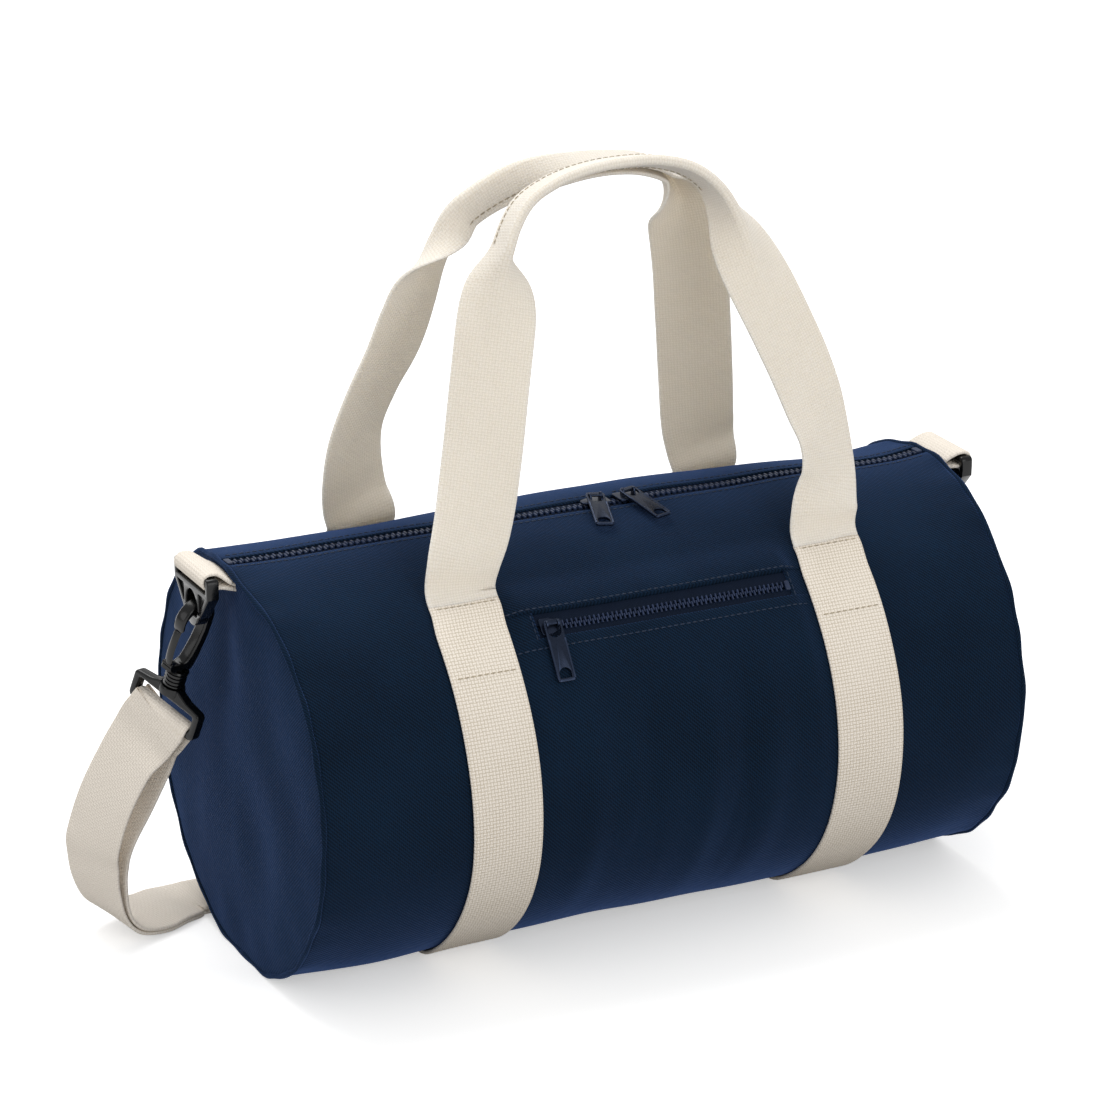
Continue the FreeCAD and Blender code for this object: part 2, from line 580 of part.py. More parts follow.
def loop_edges(outer, inner, root, plane):
    """Outline of webbing doubled round a bar at the plane's origin, with both ends at the roots."""
    outer_root, inner_root = root
    return [
        line(plane(outer_root, outer), plane(0, outer)),
        arc(plane(0, outer), plane(-outer, 0), plane(0, -outer)),
        line(plane(0, -outer), plane(inner_root, -outer)),
        line(plane(inner_root, -outer), plane(inner_root, -inner)),
        line(plane(inner_root, -inner), plane(0, -inner)),
        arc(plane(0, -inner), plane(-inner, 0), plane(0, inner)),
        line(plane(0, inner), plane(outer_root, inner)),
        line(plane(outer_root, inner), plane(outer_root, outer)),
    ]


def ring_tab(side):
    """Tab of webbing from the top of an end seam, doubled round the ring's bar."""
    bar = ring_bar(side)
    inner = RING_BAR_RADIUS + MOVING_GAP
    outer = inner + WEB_THICK

    def plane(inward, up):
        return Vector(bar.x - side * inward, -WEB_WIDTH / 2, bar.z + up)

    roots = (ring_out(side) + TAB_LAP, ring_out(side) - SEWN_GAP)
    return slab(loop_edges(outer, inner, roots, plane), Vector(0, WEB_WIDTH, 0))


def ring(side):
    """Moulded ring: a bar in the tab above a tapered plate with an arched hole for the hook."""
    bar = ring_bar(side)
    x_low = bar.x - RING_THICK / 2
    sweep = Vector(RING_THICK, 0, 0)
    slot_low = -RING_BAR_RADIUS - RING_SLOT_HEIGHT
    shoulder = slot_low - RING_SHOULDER
    plate_top = slot_low + RING_SLOT_HEIGHT / 2

    def place(y, z):
        return Vector(x_low, y, bar.z + z)

    tip = RING_TIP_HALF_WIDTH
    edge = SLOT_HALF_WIDTH + RING_CHEEK
    outline = [
        line(place(-edge, plate_top), place(-edge, shoulder)),
        line(place(-edge, shoulder), place(-tip, tip - RING_HEIGHT)),
        arc(place(-tip, tip - RING_HEIGHT), place(0, -RING_HEIGHT), place(tip, tip - RING_HEIGHT)),
        line(place(tip, tip - RING_HEIGHT), place(edge, shoulder)),
        line(place(edge, shoulder), place(edge, plate_top)),
        line(place(edge, plate_top), place(-edge, plate_top)),
    ]
    half = RING_HOLE_HALF_WIDTH
    hole_low = RING_RIM - RING_HEIGHT
    hole_arch = hole_low + RING_HOLE_HEIGHT - half
    hole = [
        line(place(-half, hole_low), place(half, hole_low)),
        line(place(half, hole_low), place(half, hole_arch)),
        arc(place(half, hole_arch), place(0, hole_arch + half), place(-half, hole_arch)),
        line(place(-half, hole_arch), place(-half, hole_low)),
    ]
    plate = slab(outline, sweep).cut(slab(hole, sweep))
    slot = box(
        x_low, x_low + RING_THICK, -SLOT_HALF_WIDTH, SLOT_HALF_WIDTH, bar.z + slot_low, bar.z
    )
    plate = plate.cut(slot)
    bar_start = Vector(bar.x, -edge, bar.z)
    rod = Part.makeCylinder(RING_BAR_RADIUS, 2 * edge, bar_start, Y_AXIS)
    for y_low in (-edge, SLOT_HALF_WIDTH):
        cheek = box(
            bar.x - RING_BAR_RADIUS, bar.x + RING_BAR_RADIUS, y_low, y_low + RING_CHEEK,
            bar.z + plate_top, bar.z
        )
        plate = plate.fuse(cheek)
    return plate.fuse(rod).removeSplitter()


def hook_frame(side):
    """Placement of a hook: its seat in the ring's hole, and how it hangs."""
    if side < 0:
        turn = LEFT_HOOK_TURN_ANGLE + HALF_TURN
        lean_back = LEFT_HOOK_LEAN_BACK_ANGLE
        lean_out = LEFT_HOOK_LEAN_OUT_ANGLE
    else:
        turn = RIGHT_HOOK_TURN_ANGLE
        lean_back = RIGHT_HOOK_LEAN_BACK_ANGLE
        lean_out = RIGHT_HOOK_LEAN_OUT_ANGLE
    facing = Rotation(Z_AXIS, turn)
    hang = facing.multiply(Rotation(X_AXIS, -lean_back)).multiply(Rotation(Y_AXIS, -lean_out))
    seat = ring_bar(side) + Vector(0, 0, RING_RIM - RING_HEIGHT + HOOK_SEAT)
    return Placement(seat, hang)


def hook_levels():
    """Heights down the hook: block, swivel, top of the base, its slot and its bar."""
    block = -HOOK_EYE_DEPTH - HOOK_BLOCK
    swivel = block - SWIVEL_HEIGHT
    base_top = swivel - MOVING_GAP
    slot_top = base_top - BASE_HUB_HEIGHT
    bar = slot_top - BASE_SLOT_HEIGHT - BASE_BAR_RADIUS
    return block, swivel, base_top, slot_top, bar


def hook_body():
    """Snap hook: bow, spine and nose over the block, then the swivel and its post."""
    block, swivel, base_top, slot_top, bar = hook_levels()
    half = HOOK_WIDTH / 2
    eye = HOOK_EYE_RADIUS
    outer = eye + HOOK_THICK

    def place(out, up):
        return Vector(out, -half, up)

    outline = [
        line(place(-outer, block), place(-outer, -eye)),
        arc(place(-outer, -eye), place(0, HOOK_THICK), place(outer, -eye)),
        line(place(outer, -eye), place(outer, -eye - HOOK_NOSE)),
        line(place(outer, -eye - HOOK_NOSE), place(eye, -eye - HOOK_NOSE)),
        line(place(eye, -eye - HOOK_NOSE), place(eye, -eye)),
        arc(place(eye, -eye), place(0, 0), place(-eye, -eye)),
        line(place(-eye, -eye), place(-eye, -HOOK_EYE_DEPTH)),
        line(place(-eye, -HOOK_EYE_DEPTH), place(outer, -HOOK_EYE_DEPTH)),
        line(place(outer, -HOOK_EYE_DEPTH), place(SWIVEL_RADIUS, block)),
        line(place(SWIVEL_RADIUS, block), place(-outer, block)),
    ]
    body = slab(outline, Vector(0, HOOK_WIDTH, 0))
    barrel = Part.makeCylinder(SWIVEL_RADIUS, SWIVEL_HEIGHT, Vector(0, 0, swivel), Z_AXIS)
    post = Part.makeCylinder(POST_RADIUS, POST_LENGTH, Vector(0, 0, swivel - POST_LENGTH), Z_AXIS)
    return body.fuse([barrel, post]).removeSplitter()


def gate_pivot():
    """Centre of the gate's knuckle in the hook's frame."""
    radius = GATE_THICK / 2
    return Vector(HOOK_EYE_RADIUS + HOOK_THICK / 2, 0, -HOOK_EYE_DEPTH + radius + MOVING_GAP)


def hook_gate():
    """Sprung gate that closes the hook's eye under the nose."""
    half = HOOK_WIDTH / 2
    radius = GATE_THICK / 2
    pivot = gate_pivot()
    top = -HOOK_EYE_RADIUS - HOOK_NOSE - MOVING_GAP
    blade = box(pivot.x - radius, pivot.x + radius, -half, half, pivot.z, top)
    knuckle = Part.makeCylinder(radius, HOOK_WIDTH, Vector(pivot.x, -half, pivot.z), Y_AXIS)
    return blade.fuse(knuckle).removeSplitter()


def swivel_base():
    """Rectangular loop under the hook, with the strap's bar along its foot."""
    block, swivel, base_top, slot_top, bar = hook_levels()
    half_thick = BASE_THICK / 2
    edge = SLOT_HALF_WIDTH + BASE_CHEEK
    frame = box(-half_thick, half_thick, -edge, edge, bar, base_top)
    slot = box(-half_thick, half_thick, -SLOT_HALF_WIDTH, SLOT_HALF_WIDTH, bar, slot_top)
    rod = Part.makeCylinder(BASE_BAR_RADIUS, 2 * edge, Vector(0, -edge, bar), Y_AXIS)
    socket_depth = POST_LENGTH + MOVING_GAP
    socket = Part.makeCylinder(
        POST_RADIUS + SLIDER_RUN_GAP, socket_depth, Vector(0, 0, base_top - socket_depth), Z_AXIS
    )
    return frame.cut(slot).fuse(rod).cut(socket).removeSplitter()


def strap_loop():
    """End of the shoulder strap, doubled round the base's bar."""
    block, swivel, base_top, slot_top, bar = hook_levels()
    inner = BASE_BAR_RADIUS + SLIDER_RUN_GAP
    outer = inner + WEB_THICK

    def plane(down, out):
        return Vector(out, -WEB_WIDTH / 2, bar - down)

    return slab(loop_edges(outer, inner, (LOOP_LENGTH, LOOP_LENGTH), plane), Vector(0, WEB_WIDTH, 0))


def strap_start(side, out):
    """End of a strap loop, that far out from the base's bar."""
    block, swivel, base_top, slot_top, bar = hook_levels()
    return hook_frame(side).multVec(Vector(out, 0, bar - LOOP_LENGTH - SEWN_GAP))


def leg_stations(side, start, end, shares, reach, thick):
    """Stations of a hanging leg of strap: centre, width direction, width and thickness."""
    turned = hook_frame(side).Rotation
    across = turned.multVec(Y_AXIS)
    if across.y > 0:
        across = -across
    lead = start - turned.multVec(Z_AXIS) * STRAP_LEAD
    stations = [(start, across, WEB_WIDTH, thick[0]), (lead, across, WEB_WIDTH, thick[0])]
    for index, (out_share, back_share, height_share, x_share, z_share) in enumerate(shares):
        x = side * (HALF_LENGTH + reach * out_share)
        y = start.y + (end.y - start.y) * back_share
        z = end.z + (start.z - end.z) * height_share
        y_share = -math.sqrt(1 - x_share ** 2 - z_share ** 2)
        taper = thick[0] + (thick[1] - thick[0]) * min(1, (index + 1) / 2)
        stations.append((Vector(x, y, z), Vector(x_share, y_share, z_share), WEB_WIDTH, taper))
    stations.append((end + Vector(side * STRAP_LEAD, 0, 0), -Y_AXIS, WEB_WIDTH, thick[1]))
    stations.append((end, -Y_AXIS, WEB_WIDTH, thick[1]))
    return stations


def leg_end(side):
    """Where a leg meets the floor run."""
    return Vector(side * (HALF_LENGTH - RUN_INSET + SEWN_GAP), RUN_CENTRE_Y, RUN_FLOOR + WEB_THICK / 2)


def right_leg():
    """Single leg of the shoulder strap at the right end, from its loop to the floor run."""
    loop_thick = 2 * (BASE_BAR_RADIUS + SLIDER_RUN_GAP + WEB_THICK)
    stations = leg_stations(
        1, strap_start(1, 0), leg_end(1), RIGHT_LEG_SHARES, RIGHT_LEG_REACH, (loop_thick, WEB_THICK)
    )
    return ribbon(stations)


def left_legs():
    """Outer and inner layers of the shoulder strap at the left end, from its loop to the floor run."""
    layer_out = BASE_BAR_RADIUS + SLIDER_RUN_GAP + WEB_THICK / 2
    start = strap_start(-1, layer_out)
    outer = leg_stations(
        -1, start, leg_end(-1), LEFT_LEG_SHARES, LEFT_LEG_REACH, (WEB_THICK, WEB_THICK)
    )
    back = strap_start(-1, -layer_out) - start
    layer = WEB_THICK + LAYER_GAP
    inner = []
    last = len(outer) - 1
    for index, (centre, across, width, thick) in enumerate(outer):
        along = outer[min(index + 1, last)][0] - outer[max(index - 1, 0)][0]
        inward = across.cross(along).normalize()
        if index < 2:
            shift = back
        elif index - 2 < len(LEFT_LEG_PARTING):
            shift = inward * LEFT_LEG_PARTING[index - 2]
        else:
            shift = inward * layer
        inner.append((centre + shift, across, width, thick))
    return ribbon(outer), ribbon(inner)


def floor_run():
    """Strap along the floor behind the barrel, woven over the adjuster's middle bar."""
    half = HALF_LENGTH - RUN_INSET
    low = RUN_FLOOR
    over = ADJUSTER_LOW + ADJUSTER_THICK + SLIDER_RUN_GAP
    side_in = ADJUSTER_HALF_LENGTH - ADJUSTER_SIDE_BAR
    mid_out = ADJUSTER_MID_BAR / 2 + SLIDER_RUN_GAP
    path = [
        (-half, low), (ADJUSTER_X - side_in, low), (ADJUSTER_X - mid_out, over),
        (ADJUSTER_X + mid_out, over), (ADJUSTER_X + side_in, low), (half, low),
    ]
    y_low = RUN_CENTRE_Y - WEB_WIDTH / 2
    points = [Vector(x, y_low, z) for x, z in path]
    points = points + [Vector(x, y_low, z + WEB_THICK) for x, z in reversed(path)]
    return polygon(points, Vector(0, WEB_WIDTH, 0))


def return_layer():
    """Second layer of strap, back from the left hook to the adjuster."""
    low = RUN_FLOOR + WEB_THICK + LAYER_GAP
    x_high = ADJUSTER_X - ADJUSTER_HALF_LENGTH - MOVING_GAP
    y_low = RUN_CENTRE_Y - WEB_WIDTH / 2
    return box(-HALF_LENGTH + RUN_INSET, x_high, y_low, y_low + WEB_WIDTH, low, low + WEB_THICK)


def adjuster():
    """Flat slide adjuster with two slots and a middle bar."""
    low = ADJUSTER_LOW
    y_low = RUN_CENTRE_Y - ADJUSTER_HALF_WIDTH
    y_high = RUN_CENTRE_Y + ADJUSTER_HALF_WIDTH
    x_low = ADJUSTER_X - ADJUSTER_HALF_LENGTH
    x_high = ADJUSTER_X + ADJUSTER_HALF_LENGTH
    frame = box(x_low, x_high, y_low, y_high, low, low + ADJUSTER_THICK)
    mid_half = ADJUSTER_MID_BAR / 2
    left_slot = (x_low + ADJUSTER_SIDE_BAR, ADJUSTER_X - mid_half)
    right_slot = (ADJUSTER_X + mid_half, x_high - ADJUSTER_SIDE_BAR)
    for left, right in (left_slot, right_slot):
        slot = box(left, right, y_low + ADJUSTER_CHEEK, y_high - ADJUSTER_CHEEK, low, low + ADJUSTER_THICK)
        frame = frame.cut(slot)
    return frame


def clip_set(name, side):
    """Ring, hook, gate, base and strap end at one side, and the lines that they turn about."""
    hang = hook_frame(side)
    save("ring_tab_" + name, ring_tab(side))
    save("ring_" + name, ring(side))
    pieces = (
        ("hook_" + name, hook_body()),
        ("hook_gate_" + name, hook_gate()),
        ("swivel_base_" + name, swivel_base()),
        ("strap_loop_" + name, strap_loop()),
    )
    for node, piece in pieces:
        piece.Placement = hang.multiply(piece.Placement)
        save(node, piece)
    print("clip", name, ring_bar(side), "seat", hang.Base)
    print("swivel axis", hang.Rotation.multVec(Z_AXIS), "gate", hang.multVec(gate_pivot()))
    print("across", hang.Rotation.multVec(Y_AXIS))


save("main_panel", main_panel())
save("rear_lip", rear_lip())
save("pocket_panel", pocket_panel())
for end_name, end_side in (("left", -1), ("right", 1)):
    save("end_panel_" + end_name, end_panel(end_side))
    save("seam_binding_" + end_name, seam_binding(end_side))
    save("wrap_strap_" + end_name, wrap_strap(end_side * STRAP_CENTRE))
    clip_set(end_name, end_side)
main_zip()
pocket_zip()
save("front_handle", handle(FRONT_HANDLE_SHARES, True))
save("rear_handle", handle(REAR_HANDLE_SHARES, False))
outer_leg, inner_leg = left_legs()
save("strap_leg_left", outer_leg)
save("strap_leg_left_inner", inner_leg)
save("strap_leg_right", right_leg())
save("strap_floor_run", floor_run())
save("strap_return_layer", return_layer())
save("strap_adjuster", adjuster())
print("lip hinge", around(RADIUS - FABRIC / 2, LIP_HINGE_ANGLE))
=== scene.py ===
import math

import bmesh
import bpy
import numpy as np
from bpy.props import FloatProperty, FloatVectorProperty, PointerProperty
from mathutils import Matrix, Vector, noise


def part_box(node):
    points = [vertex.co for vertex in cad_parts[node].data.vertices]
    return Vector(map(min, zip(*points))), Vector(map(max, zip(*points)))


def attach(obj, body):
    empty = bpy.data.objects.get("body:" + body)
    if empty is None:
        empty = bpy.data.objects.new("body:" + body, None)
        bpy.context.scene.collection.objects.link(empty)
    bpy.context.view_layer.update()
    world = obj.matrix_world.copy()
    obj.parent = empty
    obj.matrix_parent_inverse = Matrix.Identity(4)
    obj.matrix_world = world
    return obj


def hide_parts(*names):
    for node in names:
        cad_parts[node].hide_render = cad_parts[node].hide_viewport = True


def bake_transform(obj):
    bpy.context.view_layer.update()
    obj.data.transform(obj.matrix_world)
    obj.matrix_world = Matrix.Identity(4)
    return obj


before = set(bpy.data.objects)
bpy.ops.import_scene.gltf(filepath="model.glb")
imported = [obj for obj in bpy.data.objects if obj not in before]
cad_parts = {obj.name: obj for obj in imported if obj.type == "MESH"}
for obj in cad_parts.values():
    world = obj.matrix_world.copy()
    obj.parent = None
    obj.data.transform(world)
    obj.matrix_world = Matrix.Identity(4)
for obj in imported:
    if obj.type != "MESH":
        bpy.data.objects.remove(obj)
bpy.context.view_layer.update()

bl_info = {
    "name": "Canvas barrel bag",
    "version": (1, 0, 0),
    "blender": (4, 5, 0),
    "location": "View3D > Sidebar > Barrel bag",
    "description": "Builds a canvas barrel bag with webbing handles, two zips and a shoulder strap",
    "category": "Object",
}

# Lengths below are in millimetres, angles in degrees. Angles round the barrel start at its front,
# pass over the top at 90 and reach the back at 180.
MM = 0.001
SIDES = (("left", -1), ("right", 1))

# Barrel canvas, its slack and its soft turn on the floor
FABRIC = 1.1
BASE_FLATTEN = 2.2
CANVAS_INSET = 0.8
CLOTH_WAVE = 0.8
CLOTH_WAVE_LENGTH = 42
TOP_SAG = 0.5
TOP_TWIST = 4.0
TWIST_START = 172
TWIST_LENGTH = 33
TWIST_WIDTH = 30
FLOOR_SOFT = 1.2

# End panels, the seams round them and the pull of the ring tabs on the canvas
END_INSET = 0.7
END_BULGE = 3.0
END_CREASE = 2.0
END_WAVE = 1.4
END_PUCKER = 0.5
SEAM_INSET = 0.9
SEAM_ROLL = 1.4
SEAM_RIPPLE = 0.5
RIPPLE_FADE = 11
BINDING_OUTLINE = ((1.6, -1.6), (7.2, -1.6), (7.2, -2.5), (1.6, -2.5))
BINDING_FLAT = (0, 5.6, 6.4, 12)
LEFT_PULL = 7.0
RIGHT_PULL = 3.0
PULL_LENGTH = 80
PULL_ANGLE = 82.0
PULL_WIDTH = 26.0

# Sewing
STITCH_LENGTH = 2.7
STITCH_GAP = 0.9
STITCH_RADIUS = 0.36
STITCH_TIP_SHARE = 0.35
TOPSTITCH_OFFSET = 3.2
TOPSTITCH_LIFT = 0.12
TOPSTITCH_END = 4

# Front pocket
POCKET_HALF = 84.0
POCKET_TOP_ANGLE = 49.0
POCKET_LOW_ANGLE = -66.0
POCKET_ZIP_ANGLE = 44.3
POCKET_FOLD_DROP = 3.0
POCKET_SIDE_EASE = 11
POCKET_FABRIC = 0.8
POCKET_SIDE_FABRIC = 0.7
POCKET_LEAST_RISE = 0.3
POCKET_EDGE_RISE = 0.45
POCKET_FULL_RISE = 2.3
HEM_EDGE_RISE = 0.5
HEM_FULL_RISE = 3.1
HEM_FADE = 13
HEM_MARGIN = 5

# Zip tapes by their reach from the zip's middle; teeth by half width, height, angle and lift;
# sliders by half length, half width, plate, middle height and height between the plates
ZIP_EDGE = 6.2
ZIP_INSET = 2.0
ZIP_LEFT = -69.0
ZIP_RIGHT = 74.0
TAPE_THICK = 0.6
MAIN_TAPE_LIFT = -1.4
MAIN_TAPE_REACH = (2.2, 5, 8, 12, 16)
MAIN_TEETH = (3.0, 2.6, 90, -1.3)
MAIN_SLIDER_SIZES = (7.0, 5.5, 1.1, -1.7, 2.8)
MAIN_LEFT_SLIDER = 3.0
MAIN_RIGHT_SLIDER = 22.0
MAIN_PULL_DROP = 12
POCKET_TAPE_LIFT = 1.7
POCKET_TAPE_REACH = (1.6, 3.4, 5.4, 7.8)
POCKET_TEETH = (2.4, 2.0, POCKET_ZIP_ANGLE, 2.1)
POCKET_SLIDER_SIZES = (5.6, 4.4, 0.6, 2.1, 1.8)
POCKET_SLIDER = -62.0
POCKET_PULL_DROP = 10

# Rear lip of the mouth, in two halves that meet at its middle, with two places given for each half
LIP_HINGE_ANGLE = 121.3
MOUTH_MIDDLE = 12.5
LIP_BENDS = {"left": ((-160, 0, 0), (-40, 0, 0)), "right": ((160, 0, 0), (56, 0, 0))}

# Wrap straps and handles, with two places of depth and height given for the handles
WEB_THREADS = 1.5
WRAP_THREADS = 1.8
STRAP_SEAT = 2.4
SEAT_EASE = 16
STRAP_LIFT = 0.7
STRAP_DRIFT = 5.0
FOOT_DRIFT = 1.8
REAR_DRIFT = -4.5
STITCH_ANGLE = 55.5
STITCH_ANGLE_REAR = 124.5
STITCH_LOW_ANGLE = 34.7
STITCH_INSET = 2.6
HANDLE_STEPS = 6
HANDLE_BEND = ((63.0, 198.5), (59.0, 216.0))
HANDLE_FOOT_LIFT = 3.6
HANDLE_FOOT_ANGLES = (-0.2, 1.4, 2.6)
HANDLE_FOOT_LEAVE = 0.42
HANDLE_SPREAD_SHARE = 0.05
HANDLE_SPREAD_RISE = 30
FOLD_ANGLE = 88.0
FOLD_RADIUS = 2.6
GRIP_FOLD_SHARE = 0.93
GRIP_STITCH_INSET = 3.2

# Ring bars, and how each hook hangs from its ring: turned, leaned back and leaned out
LEFT_BAR_X = 218.0
RIGHT_BAR_X = 213.5
RING_BAR_Z = 213.3
RING_TO_SEAT = 19.7
LEFT_HANG = (204.0, 19.7, 4.0)
RIGHT_HANG = (-8.0, -10.0, 2.0)

# Snap hook heights below its seat
HOOK_BLOCK = -37.0
HOOK_SWIVEL = -46.0
BASE_TOP = -46.5
BASE_SLOT_TOP = -53.5
BASE_BAR = -64.1
LOOP_END = -72.1

# Shoulder strap: its loops, the stations of its legs and its run along the floor
STRAP_WRAP = 3.9
STRAP_LEAD = 10.0
LEFT_SKEW = 0.35
RIGHT_SKEW = -0.12
LAYER_STEP = 2.2
LEG_STEPS = 8
LEG_SPLIT = 3 * LEG_STEPS
LEG_TAIL = LEG_SPLIT + 9
LEG_EASE_SHARE = 0.62
LEG_START = 2
LEG_LANDING = 10
BEND_MARGIN = 5
RUN_TURN = 1.2
RUN_INSET = 4.0
RUN_HEIGHT = 1.3
RUN_OVERLAP = 3.0
RUN_TUCK = 0.1

# Angles over which an edge stays crisp
CRISP_PLATE = 30
CRISP_BLOCK = 35
CRISP_TAPE = 40
CRISP_CLOTH = 50

# Camera and studio light; softboxes and floor in metres, each softbox with its place, target, width and power
CAMERA_PLACE = (-932.95, -1870.44, 935.49)
CAMERA_AZIMUTH = -25.908
CAMERA_ELEVATION = 19.601
CAMERA_ROLL = -0.1645
CAMERA_LENS = 140.77
CAMERA_SENSOR = 36.0
CAMERA_FAR = 60.0
SOFTBOXES = (
    ("key_softbox", (-0.1, 0.9, 2.0), (0, 0, 0.1), 1.6, 24.0),
    ("front_softbox", (0.3, -2.2, 0.95), (0, 0, 0.2), 1.8, 16.0),
    ("fill_softbox", (-2.2, -0.3, 0.9), (0, 0, 0.15), 1.4, 6.0),
)
WORLD_LIGHT = 0.68
FLOOR_GLOW = 0.42
FLOOR_REACH = 9.0
FLOOR_DROP = 0.0004

# Shares of the webbing's half width: where its edge starts to round, over how much, and the outline's points
EDGE_START_SHARE = 0.95
EDGE_ROUND_SHARE = 0.05
WEB_SHARES = (0, 0.026, 0.053, 0.084, 0.126, 0.18, 0.26, 0.39, 0.53, 0.66, 0.79, 0.895, 0.955, 0.985, 1.0)

# Handle places as shares of the strap centre and of the rise, then the lengthwise fold and the twist
FRONT_HANDLE_SHARES = (
    (-0.965, 0.085, 0.0, 0), (-0.898, 0.17, 0.0, 9), (-0.8, 0.34, 0.0, 24), (-0.718, 0.505, 0.0, 26),
    (-0.645, 0.65, 0.05, 24), (-0.594, 0.75, 0.42, 16), (-0.555, 0.823, 0.9, 6), (-0.505, 0.884, 1.0, 0),
    (-0.424, 0.934, 1.0, 0), (-0.27, 0.974, 1.0, 0), (-0.09, 0.996, 1.0, 0), (0.12, 1.003, 1.0, 0),
    (0.31, 0.996, 1.0, 0), (0.482, 0.967, 1.0, 0), (0.603, 0.916, 0.96, 0), (0.675, 0.857, 0.8, 2),
    (0.736, 0.783, 0.45, 5), (0.802, 0.68, 0.12, 7), (0.89, 0.56, 0.0, 8), (0.967, 0.455, 0.0, 9),
    (1.028, 0.35, 0.0, 13), (1.068, 0.255, 0.0, 22), (1.066, 0.16, 0.0, 18), (1.025, 0.085, 0.0, 3),
)
REAR_HANDLE_SHARES = (
    (-1.035, 0.085, 0.0, 10), (-1.065, 0.17, 0.0, 18), (-1.068, 0.275, 0.0, 23), (-1.0, 0.405, 0.0, 22),
    (-0.91, 0.52, 0.0, 19), (-0.856, 0.63, 0.0, 21), (-0.812, 0.735, 0.12, 30), (-0.722, 0.815, 0.52, 56),
    (-0.598, 0.885, 1.0, 82), (-0.425, 0.936, 1.0, 72), (-0.22, 0.964, 1.0, 36), (-0.03, 0.977, 1.0, 10),
    (0.16, 0.977, 1.0, 0), (0.335, 0.962, 1.0, 0), (0.475, 0.928, 1.0, 0), (0.568, 0.872, 0.55, 6),
    (0.63, 0.79, 0.08, 14), (0.685, 0.69, 0.0, 20), (0.762, 0.5, 0.0, 22), (0.845, 0.28, 0.0, 20),
    (0.895, 0.15, 0.0, 12), (0.93, 0.085, 0.0, 4),
)

# Shoulder strap legs: outward, backward and height shares, then the width's X and Z directions
LEFT_LEG_SHARES = (
    (0.78, 0.235, 0.845, 0.34, -0.1), (0.925, 0.389, 0.647, 0.36, 0.05), (1.005, 0.515, 0.455, 0.37, 0.1),
    (0.998, 0.58, 0.342, 0.36, 0.12), (0.965, 0.61, 0.23, 0.31, 0.12), (0.885, 0.635, 0.122, 0.23, 0.04),
    (0.73, 0.665, 0.05, 0.17, -0.08), (0.505, 0.74, 0.024, 0.18, -0.13), (0.285, 0.86, 0.014, 0.18, -0.06),
)
LEFT_LEG_PARTING = (12.6, 14.4, 10.8, 7.6, 5.2, 3.4, 2.5)
RIGHT_LEG_SHARES = (
    (0.66, 0.08, 0.84, 0.0, 0.1), (0.82, 0.2, 0.68, 0.0, 0.08), (0.95, 0.36, 0.47, 0.0, 0.06),
    (1.0, 0.54, 0.27, 0.0, 0.04), (0.85, 0.75, 0.11, 0.0, 0.02), (0.55, 0.9, 0.035, 0.0, 0.0),
)

# Soft dents and swells of the slack canvas: place, angle, reach along, reach round, height
SLACK_SWELLS = (
    (-38, 68, 46, 13, -2.0), (52, 69, 40, 12, -1.6), (8, 82, 60, 8, -1.2), (-160, 62, 22, 22, -1.6),
    (158, 58, 24, 24, -1.4), (-152, 12, 20, 40, 0.9), (156, 4, 26, 44, 0.8), (10, 108, 70, 14, 3.2),
    (60, 150, 50, 24, -1.4), (-150, 150, 26, 30, -1.4), (150, 140, 26, 26, -1.5), (0, 205, 90, 18, -1.0),
    (-150, -68, 60, 16, 3.0), (190, -60, 25, 25, -2.0), (60, -70, 60, 16, 1.2),
    (170, 105, 40, 25, -2.0),
)

# Upright folds of the slack pocket front: place, reach, height
POCKET_FOLDS = ((-52, 9, 2.0), (-20, 7, -1.3), (14, 8, 2.1), (34, 6, -1.4), (50, 9, 1.8))


def linear(code):
    """Linear red, green, blue and alpha of an sRGB hex colour."""
    parts = [int(code[start:start + 2], 16) / 255 for start in (1, 3, 5)]
    return tuple(p / 12.92 if p <= 0.04045 else ((p + 0.055) / 1.055) ** 2.4 for p in parts) + (1.0,)


def node_span(name, axis):
    """Length of a solid of the frame along one axis, in metres."""
    low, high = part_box(name)
    return high[axis] - low[axis]


class BagSizes(bpy.types.PropertyGroup):
    """Sizes of the bag that a user would change."""

    length: FloatProperty(
        name="Barrel length", description="Length of the barrel over its two end panels",
        default=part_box("end_panel_right")[1][0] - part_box("end_panel_left")[0][0], unit="LENGTH"
    )
    diameter: FloatProperty(
        name="Barrel diameter", description="Width of a round end panel",
        default=node_span("end_panel_left", 1), unit="LENGTH"
    )
    web_width: FloatProperty(
        name="Webbing width", description="Width of the handles and straps",
        default=node_span("wrap_strap_left", 0), unit="LENGTH"
    )
    web_thick: FloatProperty(
        name="Webbing thickness", description="Thickness of one layer of webbing", default=0.002,
        unit="LENGTH"
    )
    strap_centre: FloatProperty(
        name="Strap centre", description="Distance from the middle of the barrel to each wrap strap",
        default=(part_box("wrap_strap_right")[0][0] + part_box("wrap_strap_right")[1][0]) / 2, unit="LENGTH"
    )
    handle_rise: FloatProperty(
        name="Handle rise", description="Height of the handles over their stitch lines", default=0.197,
        unit="LENGTH"
    )
    tooth_pitch: FloatProperty(
        name="Main tooth pitch", description="Spacing of the main zip's teeth on one side", default=0.0032,
        unit="LENGTH"
    )
    pocket_pitch: FloatProperty(
        name="Pocket tooth pitch", description="Spacing of the pocket zip's teeth on one side",
        default=0.00254, unit="LENGTH"
    )
    left_reach: FloatProperty(
        name="Left leg reach", description="How far the strap swings out from the left end", default=0.0615,
        unit="LENGTH"
    )
    right_reach: FloatProperty(
        name="Right leg reach", description="How far the strap swings out from the right end", default=0.034,
        unit="LENGTH"
    )


